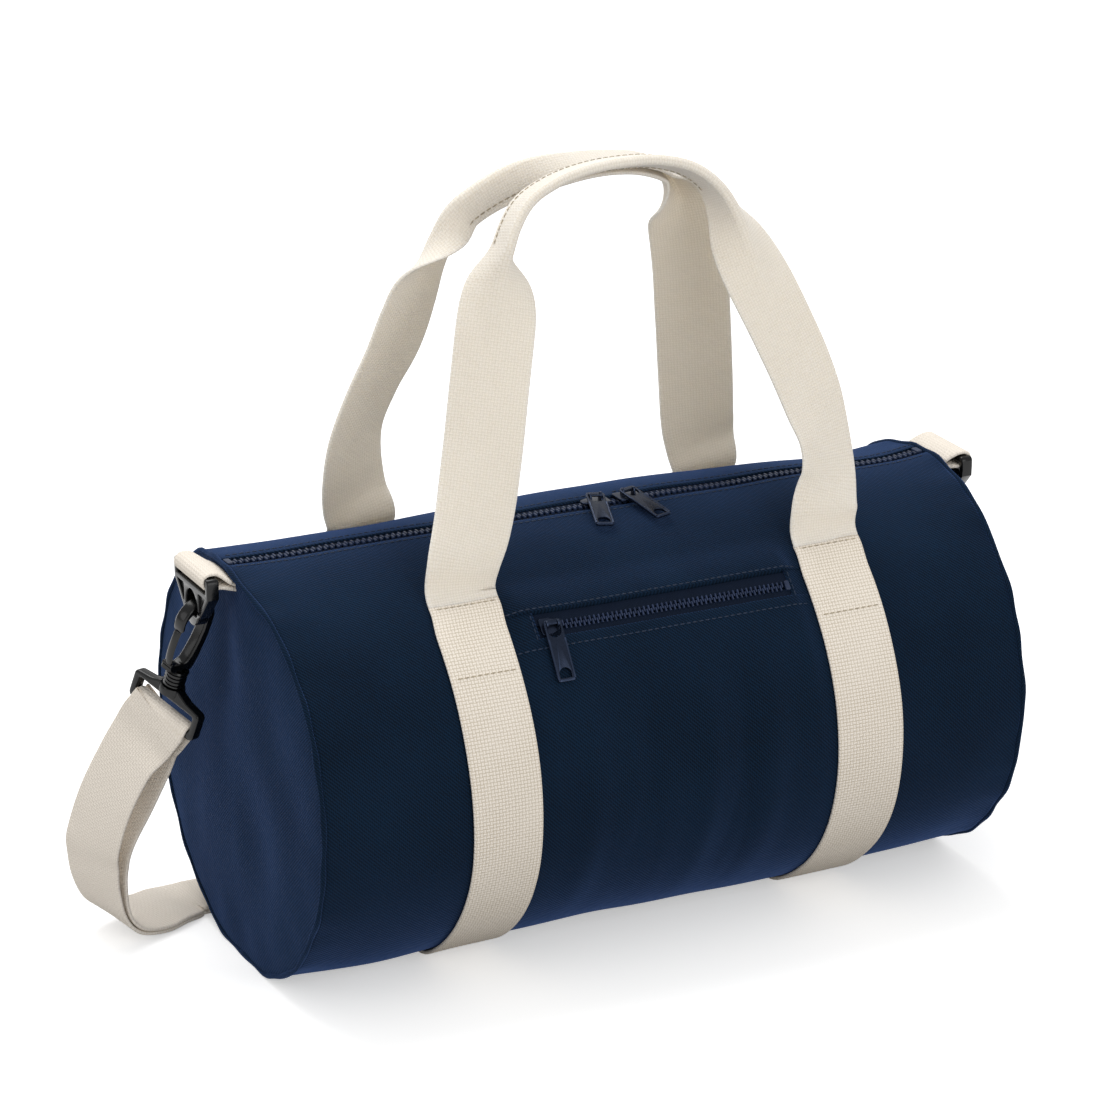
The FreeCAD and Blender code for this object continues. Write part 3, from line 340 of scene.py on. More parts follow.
class BagColours(bpy.types.PropertyGroup):
    """Colours of the bag's finishes."""

    canvas: FloatVectorProperty(
        name="Canvas", description="Dyed canvas in its lit ribs", size=4, subtype="COLOR",
        default=linear("#112438")
    )
    # Painted shade: the canvas colour in the grooves between its ribs, darker than the lit ribs
    canvas_dark: FloatVectorProperty(
        name="Canvas grooves", description="Dyed canvas between its ribs", size=4, subtype="COLOR",
        default=linear("#07111c")
    )
    thread: FloatVectorProperty(
        name="Canvas thread", description="Sewing thread on the canvas", size=4, subtype="COLOR",
        default=linear("#14253c")
    )
    webbing: FloatVectorProperty(
        name="Webbing", description="Undyed webbing on its thread tops", size=4, subtype="COLOR",
        default=linear("#f3eade")
    )
    # Painted shade in the webbing's hollows between its threads
    webbing_dark: FloatVectorProperty(
        name="Webbing hollows", description="Undyed webbing between its threads", size=4, subtype="COLOR",
        default=linear("#e3d9ca")
    )
    # Painted shade in the wrap straps' hollows, deeper than on the other webbing
    wrap_hollow: FloatVectorProperty(
        name="Wrap strap hollows", description="Wrap strap webbing between its threads", size=4,
        subtype="COLOR", default=linear("#c4b69e")
    )
    web_thread: FloatVectorProperty(
        name="Webbing thread", description="Sewing thread on the webbing", size=4, subtype="COLOR",
        default=linear("#b4a790")
    )
    tape: FloatVectorProperty(
        name="Zip tape", description="Woven zip tape", size=4, subtype="COLOR", default=linear("#0a1628")
    )
    teeth: FloatVectorProperty(
        name="Zip teeth", description="Moulded zip teeth", size=4, subtype="COLOR", default=linear("#212e49")
    )
    metal: FloatVectorProperty(
        name="Pulls and sliders", description="Plated zip pulls and sliders", size=4, subtype="COLOR",
        default=linear("#1f2737")
    )
    plastic: FloatVectorProperty(
        name="Hooks and rings", description="Moulded strap hardware", size=4, subtype="COLOR",
        default=linear("#060708")
    )


def size(name):
    """A size of the bag in millimetres."""
    return getattr(bpy.context.scene.bag_sizes, name) / MM


def colour(name):
    """A colour of the bag as linear values."""
    return tuple(getattr(bpy.context.scene.bag_colours, name))


def barrel_half():
    """Half the barrel's length."""
    return size("length") / 2


def barrel_radius():
    """Outer radius of the barrel."""
    return size("diameter") / 2


def tinted(shade, factor):
    """A colour made darker or lighter by a factor."""
    return tuple(min(1.0, part * factor) for part in shade[:3]) + (1.0,)


def add_node(tree, kind, inputs=None, **settings):
    """Add a shader node with its settings, input values and links."""
    node = tree.nodes.new("ShaderNode" + kind)
    for key, value in settings.items():
        setattr(node, key, value)
    for socket, value in (inputs or {}).items():
        if isinstance(value, bpy.types.NodeSocket):
            tree.links.new(value, node.inputs[socket])
        else:
            node.inputs[socket].default_value = value
    return node


def new_material(name):
    """Empty node material and its tree."""
    material = bpy.data.materials.new(name)
    material.use_nodes = True
    tree = material.node_tree
    tree.nodes.clear()
    return material, tree


def finish_material(tree, shader_inputs, height, depth):
    """Principled surface with its bump, linked to the output."""
    bump = add_node(tree, "Bump", {"Height": height, "Distance": depth, "Strength": 1.0})
    shader = add_node(tree, "BsdfPrincipled", {**shader_inputs, "Normal": bump.outputs["Normal"]})
    add_node(tree, "OutputMaterial", {"Surface": shader.outputs["BSDF"]})


def navy_twill_canvas(name):
    """Dyed cotton canvas, woven as a right-hand twill, matt with a soft bloom at grazing angles.

    The diagonal ribs show as fine dark lines, painted shade as well as bump; real ribs are about
    0.8 mm apart and are drawn at 1.4 mm so that they show. Slubs vary their strength and the dye
    varies at random, and the colour follows the weave's height: painted shade in the grooves, painted
    light on the raised threads.
    """
    material, tree = new_material(name)
    cloth = add_node(tree, "TexCoord").outputs["UV"]
    # A pattern of bands repeats every 0.3142 over its scale, a diagonal one every 0.4443
    rib = 0.4443 / (1.4 * MM)
    ribs = add_node(
        tree, "TexWave",
        {"Vector": cloth, "Scale": rib, "Distortion": 1.1, "Detail": 1.0, "Detail Scale": 2.0},
        wave_type="BANDS", bands_direction="DIAGONAL"
    ).outputs["Fac"]
    weft = 0.3142 / (1.1 * MM)
    yarns = add_node(
        tree, "TexWave", {"Vector": cloth, "Scale": weft, "Distortion": 1.4, "Detail": 1.0},
        wave_type="BANDS", bands_direction="X"
    ).outputs["Fac"]
    slubs = add_node(
        tree, "TexNoise", {"Vector": cloth, "Scale": 1 / (3.5 * MM), "Detail": 3.0}
    ).outputs["Fac"]
    fading = add_node(
        tree, "TexNoise", {"Vector": cloth, "Scale": 1 / (70 * MM), "Detail": 4.0}
    ).outputs["Fac"]
    weave = add_node(
        tree, "Mix", {"Factor": 0.3, "A": ribs, "B": yarns}, data_type="FLOAT"
    ).outputs["Result"]
    height = add_node(
        tree, "Mix", {"Factor": 0.35, "A": weave, "B": slubs}, data_type="FLOAT"
    ).outputs["Result"]
    shade_and_tone = add_node(
        tree, "Mix", {"Factor": 0.35, "A": height, "B": fading}, data_type="FLOAT"
    ).outputs["Result"]
    # The colour follows the weave's height as well as slubs and random fading: painted shade in the grooves,
    # painted light on the raised ribs
    ramp = add_node(tree, "ValToRGB", {"Fac": shade_and_tone})
    ramp.color_ramp.elements[0].position = 0.34
    ramp.color_ramp.elements[0].color = colour("canvas_dark")
    ramp.color_ramp.elements[1].position = 0.66
    ramp.color_ramp.elements[1].color = colour("canvas")
    rough = add_node(
        tree, "MapRange", {"Value": slubs, "From Min": 0.3, "From Max": 0.7, "To Min": 0.78, "To Max": 0.95}
    ).outputs["Result"]
    finish_material(tree, {
        "Base Color": ramp.outputs["Color"], "Roughness": rough, "Specular IOR Level": 0.06,
        "Sheen Weight": 0.32, "Sheen Roughness": 0.42, "Sheen Tint": linear("#7ca6ff"),
    }, height, 0.22 * MM)
    return material


def cream_cotton_webbing(name, soak, apart, hollow):
    """Undyed cotton webbing in a heavy plain weave: coarse square bumps with shaded hollows.

    Real threads lie about 1.3 mm apart; they are drawn at 1.5 mm, or 1.8 mm on the wrap straps, so
    that the basket shows. Light soaks some way into the handles' thick cotton, so that a lit back
    warms the shaded face.
    """
    material, tree = new_material(name)
    cloth = add_node(tree, "TexCoord").outputs["UV"]
    pitch = apart * MM
    warp = add_node(
        tree, "TexWave", {"Vector": cloth, "Scale": 0.31416 / pitch, "Distortion": 0.25, "Detail": 1.0},
        wave_type="BANDS", bands_direction="X"
    ).outputs["Fac"]
    weft = add_node(
        tree, "TexWave", {"Vector": cloth, "Scale": 0.31416 / pitch, "Distortion": 0.25, "Detail": 1.0},
        wave_type="BANDS", bands_direction="Y"
    ).outputs["Fac"]
    over = add_node(tree, "TexChecker", {"Vector": cloth, "Scale": 1 / pitch}).outputs["Fac"]
    weave = add_node(
        tree, "Mix", {"Factor": over, "A": warp, "B": weft}, data_type="FLOAT"
    ).outputs["Result"]
    fibres = add_node(
        tree, "TexNoise", {"Vector": cloth, "Scale": 1 / (2.4 * MM), "Detail": 3.0}
    ).outputs["Fac"]
    stain = add_node(
        tree, "TexNoise", {"Vector": cloth, "Scale": 1 / (40 * MM), "Detail": 3.0}
    ).outputs["Fac"]
    height = add_node(
        tree, "Mix", {"Factor": 0.2, "A": weave, "B": fibres}, data_type="FLOAT"
    ).outputs["Result"]
    shade_and_tone = add_node(
        tree, "Mix", {"Factor": 0.3, "A": height, "B": stain}, data_type="FLOAT"
    ).outputs["Result"]
    # The colour follows the weave's height and random stains: the hollows' colour is painted shade
    ramp = add_node(tree, "ValToRGB", {"Fac": shade_and_tone})
    ramp.color_ramp.elements[0].position = 0.08
    ramp.color_ramp.elements[0].color = colour(hollow)
    ramp.color_ramp.elements[1].position = 0.6
    ramp.color_ramp.elements[1].color = colour("webbing")
    finish_material(tree, {
        "Base Color": ramp.outputs["Color"], "Roughness": 0.9, "Specular IOR Level": 0.2,
        "Subsurface Weight": soak, "Subsurface Radius": (1.0, 1.0, 0.95), "Subsurface Scale": 3.0 * MM,
    }, height, 0.24 * MM)
    return material


def twisted_thread(name, dye):
    """Polyester sewing thread, twisted, with a faint shine along its strands."""
    material, tree = new_material(name)
    place = add_node(tree, "TexCoord").outputs["Object"]
    strands = add_node(
        tree, "TexNoise", {"Vector": place, "Scale": 1 / (0.9 * MM), "Detail": 2.0}
    ).outputs["Fac"]
    ramp = add_node(tree, "ValToRGB", {"Fac": strands})
    ramp.color_ramp.elements[0].position = 0.35
    ramp.color_ramp.elements[0].color = tinted(colour(dye), 0.6)
    ramp.color_ramp.elements[1].position = 0.65
    ramp.color_ramp.elements[1].color = tinted(colour(dye), 1.25)
    finish_material(tree, {
        "Base Color": ramp.outputs["Color"], "Roughness": 0.6, "Specular IOR Level": 0.35,
    }, strands, 0.08 * MM)
    return material


def woven_zip_tape(name):
    """Polyester zip tape, woven in a fine herringbone: smooth, darker than the canvas, slightly silky."""
    material, tree = new_material(name)
    cloth = add_node(tree, "TexCoord").outputs["UV"]
    bones = add_node(
        tree, "TexWave", {"Vector": cloth, "Scale": 0.4443 / (0.9 * MM), "Distortion": 0.4},
        wave_type="BANDS", bands_direction="DIAGONAL"
    ).outputs["Fac"]
    dye = add_node(
        tree, "TexNoise", {"Vector": cloth, "Scale": 1 / (6 * MM), "Detail": 3.0}
    ).outputs["Fac"]
    shade_and_tone = add_node(
        tree, "Mix", {"Factor": 0.5, "A": bones, "B": dye}, data_type="FLOAT"
    ).outputs["Result"]
    # The colour follows the herringbone's height as well as random dye: painted shade in its hollows
    ramp = add_node(tree, "ValToRGB", {"Fac": shade_and_tone})
    ramp.color_ramp.elements[0].color = tinted(colour("tape"), 0.6)
    ramp.color_ramp.elements[1].color = tinted(colour("tape"), 1.3)
    finish_material(tree, {
        "Base Color": ramp.outputs["Color"], "Roughness": 0.7, "Specular IOR Level": 0.1,
    }, bones, 0.1 * MM)
    return material


def moulded_plastic(name, dye, rough_low, rough_high, grain):
    """Moulded acetal: even body colour, a smooth skin with faint flow marks, and rubbed glossier patches."""
    material, tree = new_material(name)
    place = add_node(tree, "TexCoord").outputs["Object"]
    flow = add_node(
        tree, "TexNoise", {"Vector": place, "Scale": 1 / (grain * MM), "Detail": 4.0}
    ).outputs["Fac"]
    specks = add_node(
        tree, "TexNoise", {"Vector": place, "Scale": 1 / (0.8 * MM), "Detail": 2.0}
    ).outputs["Fac"]
    ramp = add_node(tree, "ValToRGB", {"Fac": flow})
    ramp.color_ramp.elements[0].position = 0.3
    ramp.color_ramp.elements[0].color = tinted(colour(dye), 0.75)
    ramp.color_ramp.elements[1].position = 0.7
    ramp.color_ramp.elements[1].color = tinted(colour(dye), 1.3)
    rough = add_node(
        tree, "MapRange",
        {"Value": flow, "From Min": 0.3, "From Max": 0.7, "To Min": rough_low, "To Max": rough_high}
    ).outputs["Result"]
    finish_material(tree, {
        "Base Color": ramp.outputs["Color"], "Roughness": rough, "IOR": 1.48, "Specular IOR Level": 0.36,
    }, specks, 0.02 * MM)
    return material


def gunmetal_plate(name):
    """Zinc die casting with a dark blue-grey plating: satin metal, painted paler along its edges, for rubbed
    plating and as a painted highlight.
    """
    material, tree = new_material(name)
    place = add_node(tree, "TexCoord").outputs["Object"]
    cast = add_node(
        tree, "TexNoise", {"Vector": place, "Scale": 1 / (1.6 * MM), "Detail": 4.0}
    ).outputs["Fac"]
    edge = add_node(tree, "NewGeometry").outputs["Pointiness"]
    # Sharp edges are painted 3.2 times brighter: rubbed plating and a painted edge highlight together
    rubbed_and_highlit_edges = add_node(
        tree, "MapRange", {"Value": edge, "From Min": 0.52, "From Max": 0.62, "To Min": 0.0, "To Max": 1.0}
    ).outputs["Result"]
    shade = colour("metal")
    paint = add_node(
        tree, "Mix", {0: rubbed_and_highlit_edges, 6: shade, 7: tinted(shade, 3.2)}, data_type="RGBA"
    ).outputs[2]
    rough = add_node(
        tree, "MapRange", {"Value": cast, "From Min": 0.3, "From Max": 0.7, "To Min": 0.22, "To Max": 0.42}
    ).outputs["Result"]
    finish_material(tree, {
        "Base Color": paint, "Metallic": 0.85, "Roughness": rough,
    }, cast, 0.015 * MM)
    return material


# Each finish: the material's name, what makes it and the details that it takes
FINISHES = {
    "canvas": ("navy_twill_canvas_woven", navy_twill_canvas),
    "webbing": ("cream_cotton_webbing_woven", cream_cotton_webbing, 0.0, WEB_THREADS, "webbing_dark"),
    "wrap_webbing": (
        "cream_cotton_wrap_webbing_woven", cream_cotton_webbing, 0.0, WRAP_THREADS, "wrap_hollow"
    ),
    "handle_webbing": (
        "cream_cotton_handle_webbing_woven", cream_cotton_webbing, 0.8, WEB_THREADS, "webbing_dark"
    ),
    "tape": ("navy_polyester_tape_woven", woven_zip_tape),
    "metal": ("gunmetal_plated_zinc_cast", gunmetal_plate),
    "teeth": ("navy_acetal_teeth_moulded", moulded_plastic, "teeth", 0.25, 0.42, 4.0),
    "plastic": ("black_acetal_hardware_moulded", moulded_plastic, "plastic", 0.12, 0.28, 9.0),
    "thread": ("navy_polyester_thread_twisted", twisted_thread, "thread"),
    "web_thread": ("cream_polyester_thread_twisted", twisted_thread, "web_thread"),
}


def finish(name):
    """A finish of the bag, made on first use."""
    title, maker, *details = FINISHES[name]
    return bpy.data.materials.get(title) or maker(title, *details)


def smoothstep(value):
    """Zero to one with soft ends."""
    value = min(1.0, max(0.0, value))
    return value * value * (3 - 2 * value)


def swell(distance):
    """Soft bump of height one that fades with distance."""
    return math.exp(-distance * distance)


def turn_gap(angle, middle):
    """Angle from one place round the barrel to another, the short way."""
    return (angle - middle + 180) % 360 - 180


def strap_seat(x):
    """How far the canvas is held off the floor by a wrap strap."""
    off = abs(abs(x) - size("strap_centre")) - size("web_width") / 2
    return STRAP_SEAT * (1 - smoothstep((off - 1) / SEAT_EASE))


def strap_drift(angle, side=-1):
    """How far a wrap strap has slipped sideways, from its front stitch line down, under and up the back."""
    low = STRAP_DRIFT * smoothstep((45 - angle) / 80) * smoothstep((angle + 110) / 40)
    rear = REAR_DRIFT * smoothstep((-190 - angle) / 40) if side > 0 else 0.0
    return low + rear + FOOT_DRIFT * smoothstep((angle - 46) / 9)


def seam_pull(x, angle):
    """How far the strap's weight draws the canvas endwards near the ring tabs."""
    near = smoothstep((abs(x) - barrel_half() + PULL_LENGTH) / PULL_LENGTH)
    far = -LEFT_PULL if x < 0 else RIGHT_PULL
    return far * near * swell(turn_gap(angle, PULL_ANGLE) / PULL_WIDTH)


def skin(x, angle, lift=0.0):
    """Point on the slack canvas, at a place along the barrel, an angle round it and a height over it."""
    radius = barrel_radius()
    half = barrel_half()
    turn = math.radians(angle)
    reach = radius + lift
    for place, middle, along, around, height in SLACK_SWELLS:
        reach += height * swell(math.hypot((x - place) / along, turn_gap(angle, middle) / around))
    # Puckers that the end seams' stitches draw in, then the loose wave of the cloth
    ripple = math.sin(13 * turn + 0.7) + 0.6 * math.sin(29 * turn + 0.02 * x)
    reach += SEAM_RIPPLE * ripple * math.exp(-(half - abs(x)) / RIPPLE_FADE)
    wave = noise.noise(Vector((x / CLOTH_WAVE_LENGTH, 2.4 * math.cos(turn), 5 + 2.4 * math.sin(turn))))
    reach += CLOTH_WAVE * wave
    y = -reach * math.cos(turn)
    y += TOP_TWIST * smoothstep((x - TWIST_START) / TWIST_LENGTH) * swell(turn_gap(angle, 90) / TWIST_WIDTH)
    z = radius - BASE_FLATTEN + reach * math.sin(turn)
    z -= TOP_SAG * (1 - (x / half) ** 2) * max(0.0, math.sin(turn)) ** 6
    # Cloth that would sink through the floor spreads on it with a soft turn
    floor = strap_seat(x) - lift + 0.1
    if z - floor < 20 * FLOOR_SOFT:
        z = floor + FLOOR_SOFT * math.log1p(math.exp((z - floor) / FLOOR_SOFT))
    return Vector((x + seam_pull(x, angle), y, z))


def pocket_rise(x, angle):
    """Height of the pocket's front over the barrel: full at the zip, flat towards the straps and below."""
    side = smoothstep((POCKET_HALF - abs(x - strap_drift(angle))) / POCKET_SIDE_EASE)
    rise = POCKET_EDGE_RISE + POCKET_FULL_RISE * side * smoothstep((angle + 34) / 60)
    for place, reach, height in POCKET_FOLDS:
        rise += (
            height * swell((x - place) / reach) * smoothstep((34 - angle) / 22)
            * smoothstep((angle + 60) / 50)
        )
    return max(POCKET_LEAST_RISE, rise)


def flap_rise(x, angle):
    """Height of the canvas over the pocket zip, where it folds under as a hem."""
    if angle < POCKET_TOP_ANGLE or abs(x) > POCKET_HALF + HEM_MARGIN:
        return 0.0
    side = smoothstep((POCKET_HALF - abs(x)) / POCKET_SIDE_EASE)
    edge = HEM_EDGE_RISE + HEM_FULL_RISE * side
    fade = 1 - smoothstep((angle - POCKET_TOP_ANGLE) / HEM_FADE)
    return edge * fade * smoothstep((POCKET_HALF + HEM_MARGIN - abs(x)) / 4)


def spread(low, high, count):
    """Evenly spaced values from low to high."""
    return [low + (high - low) * index / (count - 1) for index in range(count)]


def sheet_form(table, thick):
    """Sheet of cloth with real thickness: rows of outer points, each with its place on the flat cloth."""
    points = np.array([[entry[0] for entry in row] for row in table], float)
    flat = np.array([[entry[1] for entry in row] for row in table], float)
    normal = np.cross(np.gradient(points, axis=0), np.gradient(points, axis=1))
    normal /= np.maximum(np.linalg.norm(normal, axis=2, keepdims=True), 1e-9)
    rows, columns = points.shape[:2]
    count = rows * columns
    index = np.arange(count).reshape(rows, columns)
    quads = np.stack((index[:-1, :-1], index[1:, :-1], index[1:, 1:], index[:-1, 1:]), axis=-1).reshape(-1, 4)
    faces = [tuple(quad) for quad in quads.tolist()]
    faces += [tuple(reversed([corner + count for corner in quad])) for quad in quads.tolist()]
    edge = list(index[:-1, 0]) + list(index[-1, :-1]) + list(index[:0:-1, -1]) + list(index[0, :0:-1])
    for start, end in zip(edge, edge[1:] + edge[:1]):
        faces.append((int(end), int(start), int(start) + count, int(end) + count))
    vertices = np.concatenate((points.reshape(-1, 3), (points - normal * thick).reshape(-1, 3)))
    return vertices, faces, np.concatenate((flat.reshape(-1, 2), flat.reshape(-1, 2)))


def tube_form(rings, flats=None, joined=False):
    """Skin through rings of points, capped at both ends or joined end to end."""
    count = len(rings[0])
    vertices = np.array([[tuple(point) for point in ring] for ring in rings], float).reshape(-1, 3)
    faces = []
    last = len(rings) if joined else len(rings) - 1
    for row in range(last):
        first = row * count
        second = ((row + 1) % len(rings)) * count
        for column in range(count):
            after = (column + 1) % count
            faces.append((first + column, second + column, second + after, first + after))
    if not joined:
        faces.append(tuple(reversed(range(count))))
        faces.append(tuple(range((len(rings) - 1) * count, len(rings) * count)))
    if flats is None:
        flats = [[(0.0, 0.0)] * count for ring in rings]
    return vertices, faces, np.array(flats, float).reshape(-1, 2)


def plate_form(outlines, thick, bevel, place):
    """Flat plate with rounded edges: its outer outline, then its holes, set in place by a matrix."""
    curve = bpy.data.curves.new("plate_outline", "CURVE")
    curve.dimensions = "2D"
    curve.fill_mode = "BOTH"
    curve.extrude = thick / 2 - bevel
    curve.bevel_depth = bevel
    curve.bevel_resolution = 2
    curve.offset = -bevel
    for outline in outlines:
        spline = curve.splines.new("POLY")
        spline.points.add(len(outline) - 1)
        for point, (across, up) in zip(spline.points, outline):
            point.co = (across, up, 0.0, 1.0)
        spline.use_cyclic_u = True
    holder = bpy.data.objects.new("plate_outline", curve)
    mesh = bpy.data.meshes.new_from_object(holder)
    cage = bmesh.new()
    cage.from_mesh(mesh)
    bmesh.ops.remove_doubles(cage, verts=cage.verts, dist=1e-4)
    cage.verts.ensure_lookup_table()
    vertices = np.array([place @ vert.co for vert in cage.verts], float)
    faces = [tuple(vert.index for vert in face.verts) for face in cage.faces]
    cage.free()
    bpy.data.objects.remove(holder)
    bpy.data.curves.remove(curve)
    bpy.data.meshes.remove(mesh)
    return vertices, faces, np.zeros((len(vertices), 2))


def lathe_form(profile, place, count=24):
    """Round piece turned from a profile of radius and height."""
    rings = []
    for radius, height in profile:
        turns = [2 * math.pi * index / count for index in range(count)]
        rings.append([place @ Vector((radius * math.cos(t), radius * math.sin(t), height)) for t in turns])
    return tube_form(rings)


def line_direction(points, index):
    """Direction of a line of points at one of them, taken from the points before and after it."""
    return (points[min(index + 1, len(points) - 1)] - points[max(index - 1, 0)]).normalized()


def rod_form(points, radius, count, flat_share=1.0, across=None):
    """Rod along a line of points, with one radius or one for each, flattened by a share across a side."""
    rings = []
    hint = across or Vector((0.31, 0.22, 0.92))
    turns = [2 * math.pi * step / count for step in range(count)]
    for index, point in enumerate(points):
        along = line_direction(points, index)
        side = (hint - along * hint.dot(along)).normalized()
        face = along.cross(side)
        wide = radius[index] if isinstance(radius, tuple) else radius
        rings.append([
            point + side * (wide * math.cos(t)) + face * (wide * flat_share * math.sin(t)) for t in turns
        ])
    return tube_form(rings)


def stitch_forms(line):
    """Row of sewn stitches along a line of points that lies on the cloth."""
    runs = [0.0]
    for start, end in zip(line, line[1:]):
        runs.append(runs[-1] + (end - start).length)

    def at(run):
        index = int(np.searchsorted(runs, run)) - 1
        index = min(max(index, 0), len(line) - 2)
        share = (run - runs[index]) / max(1e-9, runs[index + 1] - runs[index])
        return line[index].lerp(line[index + 1], share)

    tip = STITCH_RADIUS * STITCH_TIP_SHARE
    forms = []
    run = STITCH_GAP
    while run + STITCH_LENGTH < runs[-1]:
        stops = [at(run + STITCH_LENGTH * share) for share in (0.0, 0.2, 0.8, 1.0)]
        forms.append(rod_form(stops, (tip, STITCH_RADIUS, STITCH_RADIUS, tip), 6))
        run += STITCH_LENGTH + STITCH_GAP
    return forms


def make_piece(name, forms, material, sharp=None):
    """One mesh object of the bag from its forms."""
    vertices = np.concatenate([form[0] for form in forms]) * MM
    flats = np.concatenate([form[2] for form in forms]) * MM
    faces = []
    base = 0
    for form in forms:
        faces += [tuple(corner + base for corner in face) for face in form[1]]
        base += len(form[0])
    mesh = bpy.data.meshes.new(name)
    mesh.from_pydata(vertices.tolist(), [], faces)
    layer = mesh.uv_layers.new(name="UVMap")
    corners = np.zeros(len(mesh.loops), np.int32)
    mesh.loops.foreach_get("vertex_index", corners)
    layer.data.foreach_set("uv", flats[corners].astype(np.float32).ravel())
    cage = bmesh.new()
    cage.from_mesh(mesh)
    bmesh.ops.recalc_face_normals(cage, faces=cage.faces)
    cage.to_mesh(mesh)
    cage.free()
    mesh.shade_smooth()
    if sharp is not None:
        mesh.set_sharp_from_angle(angle=math.radians(sharp))
    mesh.materials.append(material)
    piece = bpy.data.objects.new(name, mesh)
    bpy.context.scene.collection.objects.link(piece)
    return piece


def place_piece(piece, body, slot, *nodes):
    """Ride a piece on its body and hide the solids that it stands for; the slot, which would name its finish,
    is not used.
    """
    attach(piece, body)
    if nodes:
        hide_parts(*nodes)


def bend_piece(piece, bodies, start, end, slot, *nodes):
    """Keep a piece where it stands, with its placing baked into its mesh, and hide the solids that it stands
    for; the bodies, start and end in millimetres are not used.
    """
    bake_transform(piece)
    if nodes:
        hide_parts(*nodes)


def smooth_line(rows, steps):
    """Rows of numbers joined by a smooth line through each of them."""
    rows = [np.array(row, float) for row in rows]
    padded = [2 * rows[0] - rows[1]] + rows + [2 * rows[-1] - rows[-2]]
    line = []
    for index in range(1, len(padded) - 2):
        before, start, end, after = padded[index - 1:index + 3]
        for step in range(steps):
            t = step / steps
            line.append(0.5 * (
                2 * start + (end - before) * t + (2 * before - 5 * start + 4 * end - after) * t * t
                + (3 * start - before - 3 * end + after) * t ** 3
            ))
    line.append(rows[-1])
    return line


def eased_line(rows, steps):
    """Rows of numbers joined by a smooth line that does not swing out where the rows lie unevenly."""
    rows = np.array(rows, float)
    gaps = np.linalg.norm(np.diff(rows[:, :3], axis=0), axis=1)[:, None]
    slopes = np.diff(rows, axis=0) / gaps
    inner = (slopes[:-1] * gaps[1:] + slopes[1:] * gaps[:-1]) / (gaps[:-1] + gaps[1:])
    tangents = np.vstack((slopes[:1], inner, slopes[-1:]))
    line = []
    for index, gap in enumerate(gaps[:, 0]):
        for step in range(steps):
            t = step / steps
            rise = t * t * (3 - 2 * t)
            ease = gap * t * (1 - t) * ((1 - t) * tangents[index] - t * tangents[index + 1])
            line.append(rows[index] * (1 - rise) + rows[index + 1] * rise + ease)
    line.append(rows[-1])
    return line


def web_outline(fold_share=0.0):
    """Outline across the webbing: sideways, outward and place on the flat, folded lengthwise by a share."""
    half = size("web_width") / 2
    thick = size("web_thick") / 2
    right = [(0.0, 0.0, 0.0, 0.0, 1.0)]
    aside = 0.0
    out = 0.0
    for start, end in zip(WEB_SHARES, WEB_SHARES[1:]):
        middle = half * (start + end) / 2
        bend = math.radians(FOLD_ANGLE) * fold_share * smoothstep(middle / FOLD_RADIUS)
        aside += math.cos(bend) * half * (end - start)
        out -= math.sin(bend) * half * (end - start)
        past_share = max(0.0, (end - EDGE_START_SHARE) / EDGE_ROUND_SHARE)
        body = math.sqrt(max(0.0, 1 - past_share ** 2))
        right.append((aside, out, half * end, bend, body))
    outer = [(a + math.sin(b) * thick * w, o + math.cos(b) * thick * w, t) for a, o, t, b, w in right]
    inner = [(a - math.sin(b) * thick * w, o - math.cos(b) * thick * w, t) for a, o, t, b, w in right[:-1]]
    loop = [(-a, o, -t) for a, o, t in reversed(outer[1:])] + outer
    loop += list(reversed(inner)) + [(-a, o, -t) for a, o, t in inner[1:]]
    return loop


def web_form(stations, run=0.0):
    """Band of webbing through stations of centre, width direction, outward direction and fold."""
    rings = []
    flats = []
    before = stations[0][0]
    for centre, across, out, fold_share in stations:
        run += (centre - before).length
        before = centre
        raised = fold_share * size("web_width") / 4
        outline = web_outline(fold_share)
        rings.append([centre + across * a + out * (o + raised) for a, o, t in outline])
        flats.append([(t, run) for a, o, t in outline])
    return tube_form(rings, flats)


def path_stations(centres, across_hints, outward):
    """Stations of flat webbing along a line, with the side that faces outward kept outward."""
    stations = []
    for index, centre in enumerate(centres):
        along = line_direction(centres, index)
        hint = across_hints[index]
        across = (hint - along * hint.dot(along)).normalized()
        out = along.cross(across)
        if out.dot(outward[index]) < 0:
            out = -out
        stations.append((centre, across, out, 0.0))
    return stations


def arc_line(across, up, radius, start, end, count):
    """Points of an arc in a flat outline."""
    return [
        (across + radius * math.cos(math.radians(angle)), up + radius * math.sin(math.radians(angle)))
        for angle in spread(start, end, count)
    ]


def rounded_box(left, right, low, high, radius):
    """Outline of a rectangle with round corners."""
    outline = arc_line(right - radius, high - radius, radius, 90, 0, 6)
    outline += arc_line(right - radius, low + radius, radius, 0, -90, 6)
    outline += arc_line(left + radius, low + radius, radius, -90, -180, 6)
    outline += arc_line(left + radius, high - radius, radius, 180, 90, 6)
    return outline


def line_on_skin(angle_or_x, low, high, count, lift, along_x=True, extra=None):
    """Line of points over the canvas, along the barrel at one angle or round it at one place."""
    points = []
    for value in spread(low, high, count):
        x, angle = (value, angle_or_x) if along_x else (angle_or_x, value)
        points.append(skin(x, angle, lift + (extra(x, angle) if extra else 0.0)))
    return points


def top_angle(offset):
    """Angle of a line on the barrel that far behind its top centre line."""
    return 90 + math.degrees(math.asin(offset / barrel_radius()))


def canvas_row(angle, lift, places, rise=None):
    """One row of canvas points along the barrel, with their places on the flat cloth."""
    girth = barrel_radius() * math.radians(angle)
    row = []
    for x in places:
        row.append((skin(x, angle, lift + (rise(x, angle) if rise else 0.0)), (x, girth)))
    return row


def turned(angle, axis):
    """Turn about an axis."""
    return Matrix.Rotation(math.radians(angle), 4, axis)


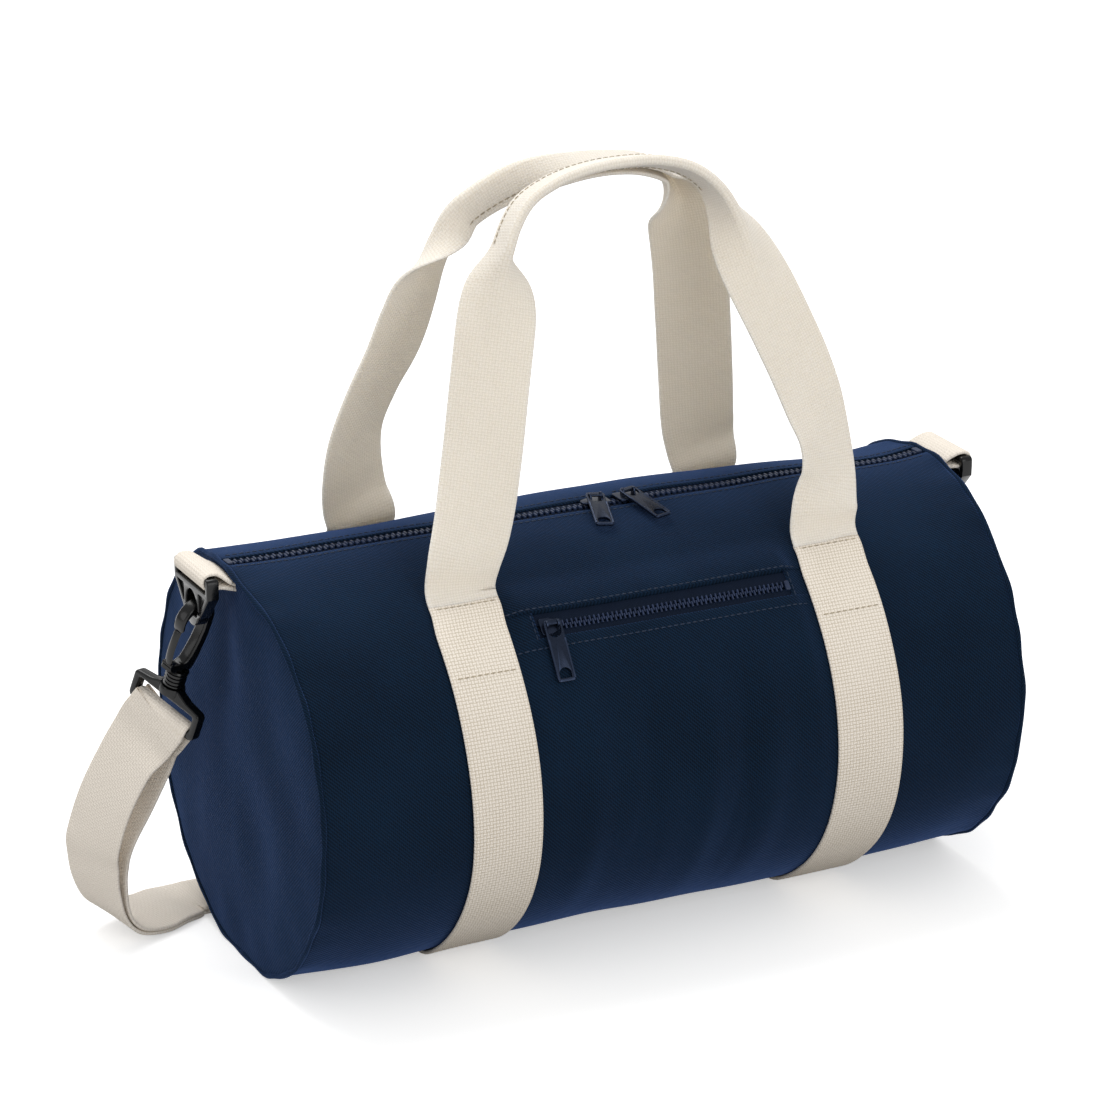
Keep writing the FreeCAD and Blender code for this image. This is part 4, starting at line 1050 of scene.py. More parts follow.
def bar_place(side):
    """Middle of a ring's bar."""
    return Vector((RIGHT_BAR_X if side > 0 else -LEFT_BAR_X, 0, RING_BAR_Z))


def hang_matrix(side):
    """Where a hook hangs: its seat in the ring's hole, turned and leaned as it lies in use."""
    turn, back, out = LEFT_HANG if side < 0 else RIGHT_HANG
    seat = bar_place(side) - Vector((0, 0, RING_TO_SEAT))
    return Matrix.Translation(seat) @ turned(turn, "Z") @ turned(-back, "X") @ turned(-out, "Y")


class BAG_OT_barrel(bpy.types.Operator):
    """Make the barrel's canvas with its folded zip edge, and the topstitch in front of the main zip."""

    bl_idname = "bag.barrel"
    bl_label = "Barrel canvas"

    def execute(self, context):
        half = barrel_half() - CANVAS_INSET
        pocket = POCKET_HALF + 6
        places = spread(-half, -pocket, 38)[:-1] + spread(-pocket, pocket, 96) + spread(pocket, half, 38)[1:]
        edge = 180 - top_angle(ZIP_EDGE)
        hem = POCKET_TOP_ANGLE
        table = [canvas_row(edge + 0.35, -0.9, places), canvas_row(edge + 0.2, -0.25, places)]
        angles = spread(edge - 0.3, hem + 2.2, 30) + spread(hem + 1.5, hem + 0.02, 6)
        table += [canvas_row(angle, 0.0, places, flap_rise) for angle in angles]
        lower = spread(hem - 0.12, 20, 20) + spread(18, -58, 34)
        lower += spread(-60, -122, 42) + spread(-124, -238.6, 48)
        table += [canvas_row(angle, 0.0, places, flap_rise) for angle in lower]
        canvas = make_piece("barrel_canvas", [sheet_form(table, FABRIC)], finish("canvas"))
        place_piece(canvas, "bag", "navy_canvas", "main_panel")
        reach = half - TOPSTITCH_END
        seam = line_on_skin(180 - top_angle(ZIP_EDGE + TOPSTITCH_OFFSET), -reach, reach, 120, TOPSTITCH_LIFT)
        thread = make_piece("main_zip_topstitch_front", stitch_forms(seam), finish("thread"))
        place_piece(thread, "bag", "navy_canvas")
        return {"FINISHED"}


class BAG_OT_ends(bpy.types.Operator):
    """Make the round end panels, the rolled seams round them and the bindings inside."""

    bl_idname = "bag.ends"
    bl_label = "End panels"

    def panel_rings(self, side):
        """Rings of an end panel from its middle out, then back in over its inner face."""
        half = barrel_half()
        radius = barrel_radius()
        centre = Vector((0, 0, radius - BASE_FLATTEN))
        angles = spread(0, 360 - 360 / 120, 120)
        rings = []
        flats = []
        outer_shares = [0.004] + spread(0.05, 0.94, 26) + [0.97, 0.99, 0.998]
        for face, shares in ((0.0, outer_shares), (-FABRIC, outer_shares[::-1])):
            for share in shares:
                ring = []
                for angle in angles:
                    edge = skin(side * half, angle)
                    point = centre + (Vector((0, edge.y, edge.z)) - centre) * share
                    swelling = END_BULGE * (1 - share ** 4)
                    low = (point.z - centre.z) / radius
                    crease = END_CREASE * swell((point.y - 16 + 22 * low) / 15) * smoothstep(low + 0.35)
                    wave = END_WAVE * noise.noise(Vector((point.y / 38, point.z / 46, 3.0 * side)))
                    pucker = END_PUCKER * math.sin(math.radians(angle) * 17)
                    pucker *= smoothstep((share - 0.7) / 0.28)
                    bow = swelling - crease * (1 - share ** 6) + (wave + pucker) * (1 - share ** 8) + face
                    drawn = (edge.x - side * half) * share ** 3
                    point.x = side * (half - END_INSET + bow) + drawn
                    ring.append(point)
                rings.append(ring)
                flats.append([(point.y, point.z) for point in ring])
        return rings, flats

    def seam_rings(self, side, around):
        """Rings of the rolled seam with their places on the flat cloth, and rings of its binding."""
        half = barrel_half()
        ridge = []
        flats = []
        binding = []
        for angle in around:
            turn = math.radians(angle)
            girth = barrel_radius() * turn
            uneven = noise.noise(Vector((9 * math.cos(turn), 9 * math.sin(turn), side)))
            fat = SEAM_ROLL * (1 + 0.16 * math.sin(23 * turn) + 0.12 * uneven)
            ring = []
            for step in range(10):
                roll = 2 * math.pi * step / 10
                x = side * (half - SEAM_INSET + fat * math.cos(roll))
                ring.append(skin(x, angle, -0.3 + fat * math.sin(roll)))
            ridge.append(ring)
            flats.append([(girth, step * 1.2) for step in range(10)])
            binding.append([skin(side * (half - inward), angle, lift) for inward, lift in BINDING_OUTLINE])
        return ridge, flats, binding

    def execute(self, context):
        # The seams start under the bag, where their two ends meet unseen
        around = spread(-90, 268, 180)
        for name, side in SIDES:
            rings, flats = self.panel_rings(side)
            panel = make_piece("end_canvas_" + name, [tube_form(rings, flats)], finish("canvas"))
            place_piece(panel, "bag", "navy_canvas", "end_panel_" + name)
            ridge, flats, binding = self.seam_rings(side, around)
            roll = make_piece("seam_roll_" + name, [tube_form(ridge, flats, True)], finish("canvas"))
            place_piece(roll, "bag", "navy_canvas")
            flats = [
                [(barrel_radius() * math.radians(angle), width) for width in BINDING_FLAT] for angle in around
            ]
            form = tube_form(binding, flats, True)
            bound = make_piece("seam_tape_" + name, [form], finish("tape"), CRISP_TAPE)
            place_piece(bound, "bag", "navy_tape", "seam_binding_" + name)
        return {"FINISHED"}


class BAG_OT_lip(bpy.types.Operator):
    """Make the rear lip of the mouth in two halves, with its topstitch."""

    bl_idname = "bag.lip"
    bl_label = "Rear lip"

    def execute(self, context):
        half = barrel_half() - CANVAS_INSET
        edge = top_angle(ZIP_EDGE)
        angles = spread(LIP_HINGE_ANGLE, edge + 0.3, 26)
        for name, low, high in (("left", -half, MOUTH_MIDDLE), ("right", MOUTH_MIDDLE, half)):
            places = spread(low, high, 90)
            table = [canvas_row(angle, 0.0, places) for angle in angles]
            table += [canvas_row(edge - 0.2, -0.25, places), canvas_row(edge - 0.35, -0.9, places)]
            lip = make_piece("rear_lip_" + name, [sheet_form(table, FABRIC)], finish("canvas"), CRISP_CLOTH)
            bend_piece(lip, ("bag", "rear_lip"), *LIP_BENDS[name], "navy_canvas", "rear_lip")
            angle = top_angle(ZIP_EDGE + TOPSTITCH_OFFSET)
            seam = line_on_skin(angle, low + TOPSTITCH_END, high, 60, TOPSTITCH_LIFT)
            thread = make_piece("main_zip_topstitch_rear_" + name, stitch_forms(seam), finish("thread"))
            bend_piece(thread, ("bag", "rear_lip"), *LIP_BENDS[name], "navy_canvas")
        return {"FINISHED"}


class BAG_OT_pocket(bpy.types.Operator):
    """Make the front pocket below its zip, the small panels beside the zip and its topstitches."""

    bl_idname = "bag.pocket"
    bl_label = "Front pocket"

    def execute(self, context):
        wide = POCKET_HALF + 2.5
        far = wide + STRAP_DRIFT
        fold = POCKET_ZIP_ANGLE - POCKET_FOLD_DROP
        places = spread(-wide, far, 110)
        tucked = ((fold + 0.3, -0.7), (fold + 0.2, -0.2))
        table = [canvas_row(angle, lift, places, pocket_rise) for angle, lift in tucked]
        angles = spread(fold - 0.1, 30, 16) + spread(28.5, POCKET_LOW_ANGLE, 62)
        table += [canvas_row(angle, 0.0, places, pocket_rise) for angle in angles]
        forms = [sheet_form(table, POCKET_FABRIC)]
        for low, high in ((-wide, ZIP_LEFT), (ZIP_RIGHT, far)):
            places = spread(low, high, 14)
            angles = spread(POCKET_TOP_ANGLE + 1.2, fold - 0.6, 14)
            table = [canvas_row(angle, -0.15, places, pocket_rise) for angle in angles]
            forms.append(sheet_form(table, POCKET_SIDE_FABRIC))
        panel = make_piece("pocket_canvas", forms, finish("canvas"))
        place_piece(panel, "bag", "navy_canvas", "pocket_panel")
        reach = POCKET_HALF - 0.5
        hem = line_on_skin(POCKET_TOP_ANGLE + 0.75, -reach, reach, 90, 0.1, True, flap_rise)
        low = line_on_skin(fold - 2.6, -reach, reach, 90, 0.1, True, pocket_rise)
        seams = stitch_forms(hem) + stitch_forms(low)
        for x in (ZIP_LEFT - 1.6, ZIP_RIGHT + 1.6):
            upright = line_on_skin(x, fold - 0.5, POCKET_TOP_ANGLE - 0.3, 12, -0.05, False, pocket_rise)
            seams += stitch_forms(upright)
        thread = make_piece("pocket_topstitch", seams, finish("thread"))
        place_piece(thread, "bag", "navy_canvas")
        return {"FINISHED"}


def tooth_form(centre, across, up, along, length, width, height):
    """One moulded tooth: a rounded block from its bead to its tip."""
    rings = []
    for reach_share, girth_share in ((0.0, 0.86), (0.12, 1.0), (0.78, 1.0), (0.94, 0.86), (1.0, 0.6)):
        ring = []
        for turn in range(8):
            angle = math.radians(22.5 + 45 * turn)
            wide = max(-0.86, min(0.86, 1.24 * math.cos(angle))) * width / 2 * girth_share
            tall = max(-0.86, min(0.86, 1.24 * math.sin(angle))) * height / 2 * girth_share
            ring.append(centre + across * (length * reach_share) + along * wide + up * tall)
        rings.append(ring)
    return tube_form(rings)


def zip_side(side, low, high, pitch, half_width, height, angle, lift, parted):
    """Teeth of one side of a zip, between two places along the barrel, drawn back where sliders part them."""
    forms = []
    turn = math.radians(90 - angle)
    up = Vector((0, -math.sin(turn), math.cos(turn)))
    across = Vector((0, math.cos(turn), math.sin(turn))) * side
    along = Vector((1, 0, 0))
    first = math.ceil(low / pitch) * pitch + (pitch / 2 if side > 0 else 0.0)
    count = max(0, int((high - first) / pitch))
    for index in range(count):
        x = first + index * pitch
        reach = half_width * 1.27
        for neck in parted:
            reach -= half_width * 0.62 * smoothstep((4.0 - abs(x - neck)) / 2.5)
        root = skin(x, angle, lift) + across * half_width
        forms.append(tooth_form(root, -across, up, along, reach, pitch * 0.5, height))
    return forms


class BAG_OT_zips(bpy.types.Operator):
    """Make the teeth, tapes and stops of the main zip and the pocket zip."""

    bl_idname = "bag.zips"
    bl_label = "Zips"

    def tape(self, name, angles, low, high, lift):
        """Zip tape between two places along the barrel."""
        form = sheet_form([canvas_row(angle, lift, spread(low, high, 60)) for angle in angles], TAPE_THICK)
        return make_piece(name, [form], finish("tape"), CRISP_TAPE)

    def teeth(self, name, forms):
        """Row of moulded teeth, or an end stop."""
        return make_piece(name, forms, finish("teeth"), CRISP_BLOCK)

    def main_zip(self):
        """Main zip: its front side on the barrel, its rear side in two halves along the lip."""
        half = barrel_half() - ZIP_INSET
        pitch = size("tooth_pitch")
        parted = (MAIN_LEFT_SLIDER, MAIN_RIGHT_SLIDER)
        angles = [180 - top_angle(reach) for reach in MAIN_TAPE_REACH]
        tape = self.tape("main_tape_front", angles, -half, half, MAIN_TAPE_LIFT)
        place_piece(tape, "bag", "navy_tape", "main_zip_tape_front")
        teeth = self.teeth("main_teeth_front", zip_side(-1, -half, half, pitch, *MAIN_TEETH, parted))
        place_piece(teeth, "bag", "navy_zip_teeth", "main_zip_teeth_front")
        angles = [top_angle(reach) for reach in MAIN_TAPE_REACH[::-1]]
        for name, low, high in (("left", -half, MOUTH_MIDDLE), ("right", MOUTH_MIDDLE, half)):
            tape = self.tape("main_zip_tape_rear_" + name, angles, low, high, MAIN_TAPE_LIFT)
            bend_piece(tape, ("bag", "rear_lip"), *LIP_BENDS[name], "navy_tape", "main_zip_tape_rear")
            forms = zip_side(1, low, high, pitch, *MAIN_TEETH, parted)
            teeth = self.teeth("main_zip_teeth_rear_" + name, forms)
            bend_piece(teeth, ("bag", "rear_lip"), *LIP_BENDS[name], "navy_zip_teeth", "main_zip_teeth_rear")
        for name, side in SIDES:
            middle = skin(side * (half - 2.4), 90, -1.2)
            outline = rounded_box(-1.7, 1.7, -3.4, 3.4, 0.9)
            block = plate_form([outline], 3.2, 0.6, Matrix.Translation(middle))
            stop = self.teeth("main_stop_" + name, [block])
            place_piece(stop, "bag", "navy_zip_teeth", "main_zip_stop_" + name)

    def pocket_zip(self):
        """Pocket zip: its lower and upper side, and the stop at its right end."""
        pitch = size("pocket_pitch")
        for name, side in (("lower", -1), ("upper", 1)):
            reaches = POCKET_TAPE_REACH[::-side]
            angles = [POCKET_ZIP_ANGLE + side * math.degrees(reach / barrel_radius()) for reach in reaches]
            tape = self.tape("pocket_tape_" + name, angles, ZIP_LEFT - 3, ZIP_RIGHT + 3, POCKET_TAPE_LIFT)
            place_piece(tape, "bag", "navy_tape", "pocket_zip_tape_" + name)
            forms = zip_side(side, ZIP_LEFT + 1, ZIP_RIGHT - 1.5, pitch, *POCKET_TEETH, (POCKET_SLIDER,))
            teeth = self.teeth("pocket_teeth_" + name, forms)
            place_piece(teeth, "bag", "navy_zip_teeth", "pocket_zip_teeth_" + name)
        seat = skin(ZIP_RIGHT - 1.4, POCKET_ZIP_ANGLE, 2.2)
        middle = Matrix.Translation(seat) @ turned(90 - POCKET_ZIP_ANGLE, "X")
        block = plate_form([rounded_box(-1.3, 1.3, -2.6, 2.6, 0.7)], 2.4, 0.5, middle)
        stop = self.teeth("pocket_stop", [block])
        place_piece(stop, "bag", "navy_zip_teeth", "pocket_zip_stop")

    def execute(self, context):
        self.main_zip()
        self.pocket_zip()
        return {"FINISHED"}


def slider_forms(half_length, half_width, plate, mid, height, place):
    """Zip slider: two shaped plates on a neck, with rolled flanges and two lugs, and its pin's height."""
    nose = half_width * 0.62
    outline = arc_line(-half_length + 2.2, 0, nose, 235, 125, 9)
    outline += [(0.2, half_width * 0.98)] + arc_line(half_length - 1.2, half_width - 1.2, 1.2, 90, 0, 5)
    outline += arc_line(half_length - 1.2, 1.2 - half_width, 1.2, 0, -90, 5) + [(0.2, -half_width * 0.98)]
    top = mid + height / 2 + 0.3 + plate / 2
    low = mid - height / 2 - 0.3 - plate / 2
    forms = [plate_form([outline], plate, plate * 0.32, place @ Matrix.Translation((0, 0, top)))]
    forms.append(plate_form([outline], plate, plate * 0.32, place @ Matrix.Translation((0, 0, low))))
    neck = rounded_box(-1.2, 1.2, -0.75, 0.75, 0.6)
    forms.append(plate_form([neck], top - low, 0.05, place @ Matrix.Translation((0, 0, (top + low) / 2))))
    for side in (-1, 1):
        edge = side * (half_width - 0.45)
        rail = [place @ Vector((x, edge, top - 0.55)) for x in spread(0.2, half_length - 0.7, 8)]
        forms.append(rod_form(rail, 0.62, 8))
    pin = top + plate / 2 + 2.4
    side_on = turned(90, "Z") @ turned(90, "X")
    for x in (-3.1, 3.1):
        lug = [(-2.1, -2.6), (-1.7, -0.6)] + arc_line(0, 0, 1.6, 165, 15, 9) + [(1.7, -0.6), (2.1, -2.6)]
        forms.append(plate_form([lug], 1.15, 0.25, place @ Matrix.Translation((x, 0, pin)) @ side_on))
    return forms, pin


def pull_forms(splay, drop, place):
    """Zip pull: a plate with raised rims, a window round the lugs, a slot at its tip and a crossbar."""
    tilt = place @ turned(drop, "X") @ turned(splay, "Z")
    outline = arc_line(2.9, 0.0, 2.0, 0, 90, 6) + arc_line(-2.9, 0.0, 2.0, 90, 180, 6)
    outline += arc_line(-3.5, -29.0, 1.2, 180, 270, 5) + arc_line(3.5, -29.0, 1.2, 270, 360, 5)
    window = arc_line(0, -3.6, 3.7, 180, 360, 13) + [(3.7, -0.7), (-3.7, -0.7)]
    slot = [(-3.1, -28.3), (3.1, -28.3)] + arc_line(0, -26.4, 3.3, 14, 166, 11)
    forms = [plate_form([outline, window, slot], 1.5, 0.35, tilt)]
    for side in (-1, 1):
        rim = [tilt @ Vector((side * 4.4, y, 0.55)) for y in spread(-8.2, -29.0, 12)]
        forms.append(rod_form(rim, 0.62, 8))
    foot = [tilt @ Vector((x, -29.4, 0.55)) for x in spread(-4.0, 4.0, 8)]
    forms.append(rod_form(foot, 0.62, 8))
    bar = [tilt @ Vector((x, 0, 0)) for x in spread(-4.3, 4.3, 8)]
    forms.append(rod_form(bar, 0.8, 10))
    return forms


class BAG_OT_sliders(bpy.types.Operator):
    """Make the zip sliders and their pulls."""

    bl_idname = "bag.sliders"
    bl_label = "Zip sliders and pulls"

    def pair(self, name, bodies, nodes, zip_sizes, place, turn, splay, drop):
        """Slider turned along its zip, and the pull that lies splayed and dropped from its pin."""
        forms, pin = slider_forms(*zip_sizes, place @ turned(turn, "Z"))
        slider = make_piece(name + "_slider", forms, finish("metal"), CRISP_PLATE)
        place_piece(slider, bodies[0], "gunmetal", nodes[0])
        forms = pull_forms(splay, drop, place @ Matrix.Translation((0, 0, pin)))
        pull = make_piece(name + "_pull", forms, finish("metal"), CRISP_PLATE)
        place_piece(pull, bodies[1], "gunmetal", nodes[1])

    def execute(self, context):
        radius = barrel_radius()
        top = radius * 2 - BASE_FLATTEN
        mains = (("left", MAIN_LEFT_SLIDER, 0, -16), ("right", MAIN_RIGHT_SLIDER, 180, 12))
        for name, x, turn, splay in mains:
            bodies = ("main_slider_" + name, "main_pull_" + name)
            nodes = ("main_zip_slider_" + name, "main_zip_pull_" + name)
            place = Matrix.Translation((x, 0, top))
            lie = (turn, splay, MAIN_PULL_DROP)
            self.pair("main_zip_" + name, bodies, nodes, MAIN_SLIDER_SIZES, place, *lie)
        turn = math.radians(POCKET_ZIP_ANGLE)
        height = radius - BASE_FLATTEN + radius * math.sin(turn)
        seat = Vector((POCKET_SLIDER, -radius * math.cos(turn), height))
        place = Matrix.Translation(seat) @ turned(90 - POCKET_ZIP_ANGLE, "X")
        bodies = ("pocket_slider", "pocket_pull")
        nodes = ("pocket_zip_slider", "pocket_zip_pull")
        self.pair("pocket_zip_front", bodies, nodes, POCKET_SLIDER_SIZES, place, 180, 0, POCKET_PULL_DROP)
        return {"FINISHED"}


class BAG_OT_wraps(bpy.types.Operator):
    """Make the wrap straps round the barrel, with the stitch rows under each handle."""

    bl_idname = "bag.wraps"
    bl_label = "Wrap straps"

    def execute(self, context):
        outline = web_outline()
        lift = STRAP_LIFT + size("web_thick") / 2
        for name, side in SIDES:
            middle = side * size("strap_centre")
            rings = []
            flats = []
            for angle in spread(STITCH_ANGLE + 0.4, STITCH_ANGLE_REAR - 360 - 0.4, 190):
                drift = middle + strap_drift(angle, side)
                rings.append([skin(drift + a, angle, lift + o) for a, o, t in outline])
                girth = -barrel_radius() * math.radians(angle - STITCH_ANGLE)
                flats.append([(t, girth) for a, o, t in outline])
            strap = make_piece("wrap_web_" + name, [tube_form(rings, flats)], finish("wrap_webbing"))
            place_piece(strap, "bag", "cream_webbing", "wrap_strap_" + name)
            seams = []
            over = STRAP_LIFT + size("web_thick") + 0.05
            reach = size("web_width") / 2 - STITCH_INSET
            front = (STITCH_ANGLE - 1.0, STITCH_LOW_ANGLE)
            rear = (-180 - STITCH_LOW_ANGLE, STITCH_ANGLE_REAR - 359)
            for angle in front + rear:
                here = middle + strap_drift(angle, side)
                seams += stitch_forms(line_on_skin(angle, here - reach, here + reach, 20, over))
            thread = make_piece("wrap_strap_stitching_" + name, seams, finish("web_thread"))
            place_piece(thread, "bag", "cream_webbing")
        return {"FINISHED"}


class BAG_OT_handles(bpy.types.Operator):
    """Make the two handles: flat legs that fold lengthwise into a sewn grip."""

    bl_idname = "bag.handles"
    bl_label = "Handles"

    def stations(self, shares, front):
        """Stations of a handle from its left foot over the grip to its right foot."""
        mirror = 1 if front else -1
        radius = barrel_radius()
        turn = math.radians(STITCH_ANGLE)
        reach = radius + HANDLE_FOOT_LIFT
        foot = Vector((0, -reach * math.cos(turn), radius - BASE_FLATTEN + reach * math.sin(turn)))
        top = Vector((0, -size("web_width") / 4 - 0.3, foot.z + size("handle_rise")))
        climb = (top - foot).normalized()
        outward = Vector((0, -climb.z, climb.y))
        lift = STRAP_LIFT + size("web_thick") / 2
        ends = []
        for side in (-1, 1):
            legs = []
            slip = FOOT_DRIFT if front else REAR_DRIFT * max(0, side)
            for past in HANDLE_FOOT_ANGLES:
                angle = STITCH_ANGLE + past
                round_to = angle if front else 180 - angle
                leave = HANDLE_FOOT_LEAVE * max(0, angle - STITCH_ANGLE - HANDLE_FOOT_ANGLES[0]) ** 1.5
                seat = skin(side * size("strap_centre") + slip, round_to, lift + leave)
                out = Vector((0, -math.cos(math.radians(angle)), math.sin(math.radians(angle))))
                out = out.lerp(outward, max(0.0, (angle - STITCH_ANGLE) / 5))
                legs.append((seat.x, seat.y * mirror, seat.z, 0.0, *out, 0.0))
            ends.append(legs)
        rows = ends[0]
        for x_share, rise_share, fold_share, twist in shares:
            place = foot + (top - foot) * rise_share
            rows.append((x_share * size("strap_centre"), place.y, place.z, fold_share, *outward, twist))
        rows += list(reversed(ends[1]))
        line = eased_line(rows, HANDLE_STEPS)
        centres = [Vector(row[:3]) for row in line]
        stations = []
        for index, row in enumerate(line):
            centre = centres[index].copy()
            fold_share = min(1.0, max(0.0, row[3]))
            along = line_direction(centres, index)
            out = Vector(row[4:7])
            out = (out - along * out.dot(along)).normalized()
            up = out.cross(along)
            twist = math.radians(row[7])
            out = out * math.cos(twist) + up * math.sin(twist)
            wider = 1 + HANDLE_SPREAD_SHARE * smoothstep((centre.z - foot.z) / HANDLE_SPREAD_RISE)
            across = along.cross(out) * wider
            if not front:
                centre.y = -centre.y
                out.y = -out.y
                across.y = -across.y
            stations.append((centre, across, out, fold_share))
        return stations

    def grip_line(self, stations, side):
        """Line of the grip's stitches near one edge of the webbing, on its outer face."""
        reach = side * (size("web_width") / 2 - GRIP_STITCH_INSET)
        line = []
        for centre, across, out, fold_share in stations:
            if fold_share > GRIP_FOLD_SHARE:
                outer = web_outline(fold_share)[:2 * len(WEB_SHARES) - 1]
                a, o, t = min(outer, key=lambda entry: abs(entry[2] - reach))
                raised = fold_share * size("web_width") / 4
                line.append(centre + across * (a + side * 0.1) + out * (o + raised))
        return line

    def execute(self, context):
        handles = (("front", FRONT_HANDLE_SHARES, True), ("rear", REAR_HANDLE_SHARES, False))
        for name, shares, front in handles:
            stations = self.stations(shares, front)
            handle = make_piece(name + "_handle_web", [web_form(stations)], finish("handle_webbing"))
            mirror = -1 if front else 1
            start, end = [(0, mirror * depth, height) for depth, height in HANDLE_BEND]
            bend_piece(handle, ("bag", name + "_handle"), start, end, "cream_webbing", name + "_handle")
            seams = stitch_forms(self.grip_line(stations, -1)) + stitch_forms(self.grip_line(stations, 1))
            thread = make_piece(name + "_handle_stitching", seams, finish("web_thread"))
            place_piece(thread, name + "_handle", "cream_webbing")
        return {"FINISHED"}


class BAG_OT_rings(bpy.types.Operator):
    """Make the ring tabs at the tops of the end seams and the moulded rings that hang in them."""

    bl_idname = "bag.rings"
    bl_label = "Ring tabs and rings"

    def tab(self, name, side):
        """Short tab of webbing, sewn into the end seam and turned round the ring's bar."""
        bar = bar_place(side)
        high = [(-14.5, -2.4), (-11.5, -0.9), (-8.0, 1.4), (-5.0, 3.0), (-2.5, 3.75)]
        low = [(-2.5, -3.75), (-5.0, -3.4), (-8.0, -3.2), (-11.5, -3.8), (-14.5, -4.7)]
        path = high + arc_line(0, 0, 3.75, 80, -80, 13) + low
        line = smooth_line([(bar.x + side * out, 0.0, bar.z + up) for out, up in path], 3)
        centres = [Vector(point) for point in line]
        middle = bar - Vector((side * 6, 0, 0))
        outward = [(point - middle) for point in centres]
        stations = path_stations(centres, [Vector((0, 1, 0))] * len(centres), outward)
        form = web_form(stations)
        for point in form[0]:
            sewn = smoothstep(((bar.x - point[0]) * side - 2) / 9)
            point[2] -= sewn * point[1] ** 2 / (2 * barrel_radius())
            point[1] += sewn * (TOP_TWIST if side > 0 else 0.0)
        tab = make_piece("ring_tab_web_" + name, [form], finish("webbing"))
        place_piece(tab, "bag", "cream_webbing", "ring_tab_" + name)

    def ring(self, name, side):
        """Moulded ring: a thick frame with a slot, an arched hole and two windows, filled by a thin web."""
        bar = bar_place(side)
        upright = Matrix(((0, 0, 1, bar.x), (1, 0, 0, 0), (0, 1, 0, bar.z), (0, 0, 0, 1)))
        edge = 22.5
        slope = [(edge, -4.0), (edge - 0.2, -8.4), (10.4, -21.4)]
        outline = slope + arc_line(0, -19.6, 8.4, -22, -158, 17)
        outline += [(-across, up) for across, up in reversed(slope)]
        outline += arc_line(-edge + 2.4, -0.2, 2.4, 180, 90, 6) + arc_line(edge - 2.4, -0.2, 2.4, 90, 0, 6)
        slot = rounded_box(-19.4, 19.4, -5.8, -2.2, 1.0)
        arch = [(-7.4, -20.8), (-6.2, -22.0), (6.2, -22.0), (7.4, -20.8)]
        arch += arc_line(0, -16.4, 7.4, 0, 180, 15)
        right = [(18.4, -8.7), (10.6, -17.4), (9.5, -17.4), (9.5, -9.5), (10.3, -8.7)]
        left = [(-across, up) for across, up in right]
        web = [(across * 0.96, -14.0 + (up + 14.0) * 0.96) for across, up in outline]
        web_slot = rounded_box(-19.9, 19.9, -6.3, -1.7, 1.2)
        web_arch = [(across * 1.05, -17.0 + (up + 17.0) * 1.05) for across, up in arch]
        forms = [plate_form([web, web_slot, web_arch], 4.0, 0.5, upright)]
        forms.append(plate_form([outline, slot, arch, right, left], 6.5, 0.8, upright))
        ring = make_piece("ring_moulded_" + name, forms, finish("plastic"), CRISP_PLATE)
        place_piece(ring, "clip_" + name, "black_plastic", "ring_" + name)

    def execute(self, context):
        for name, side in SIDES:
            self.tab(name, side)
            self.ring(name, side)
        return {"FINISHED"}


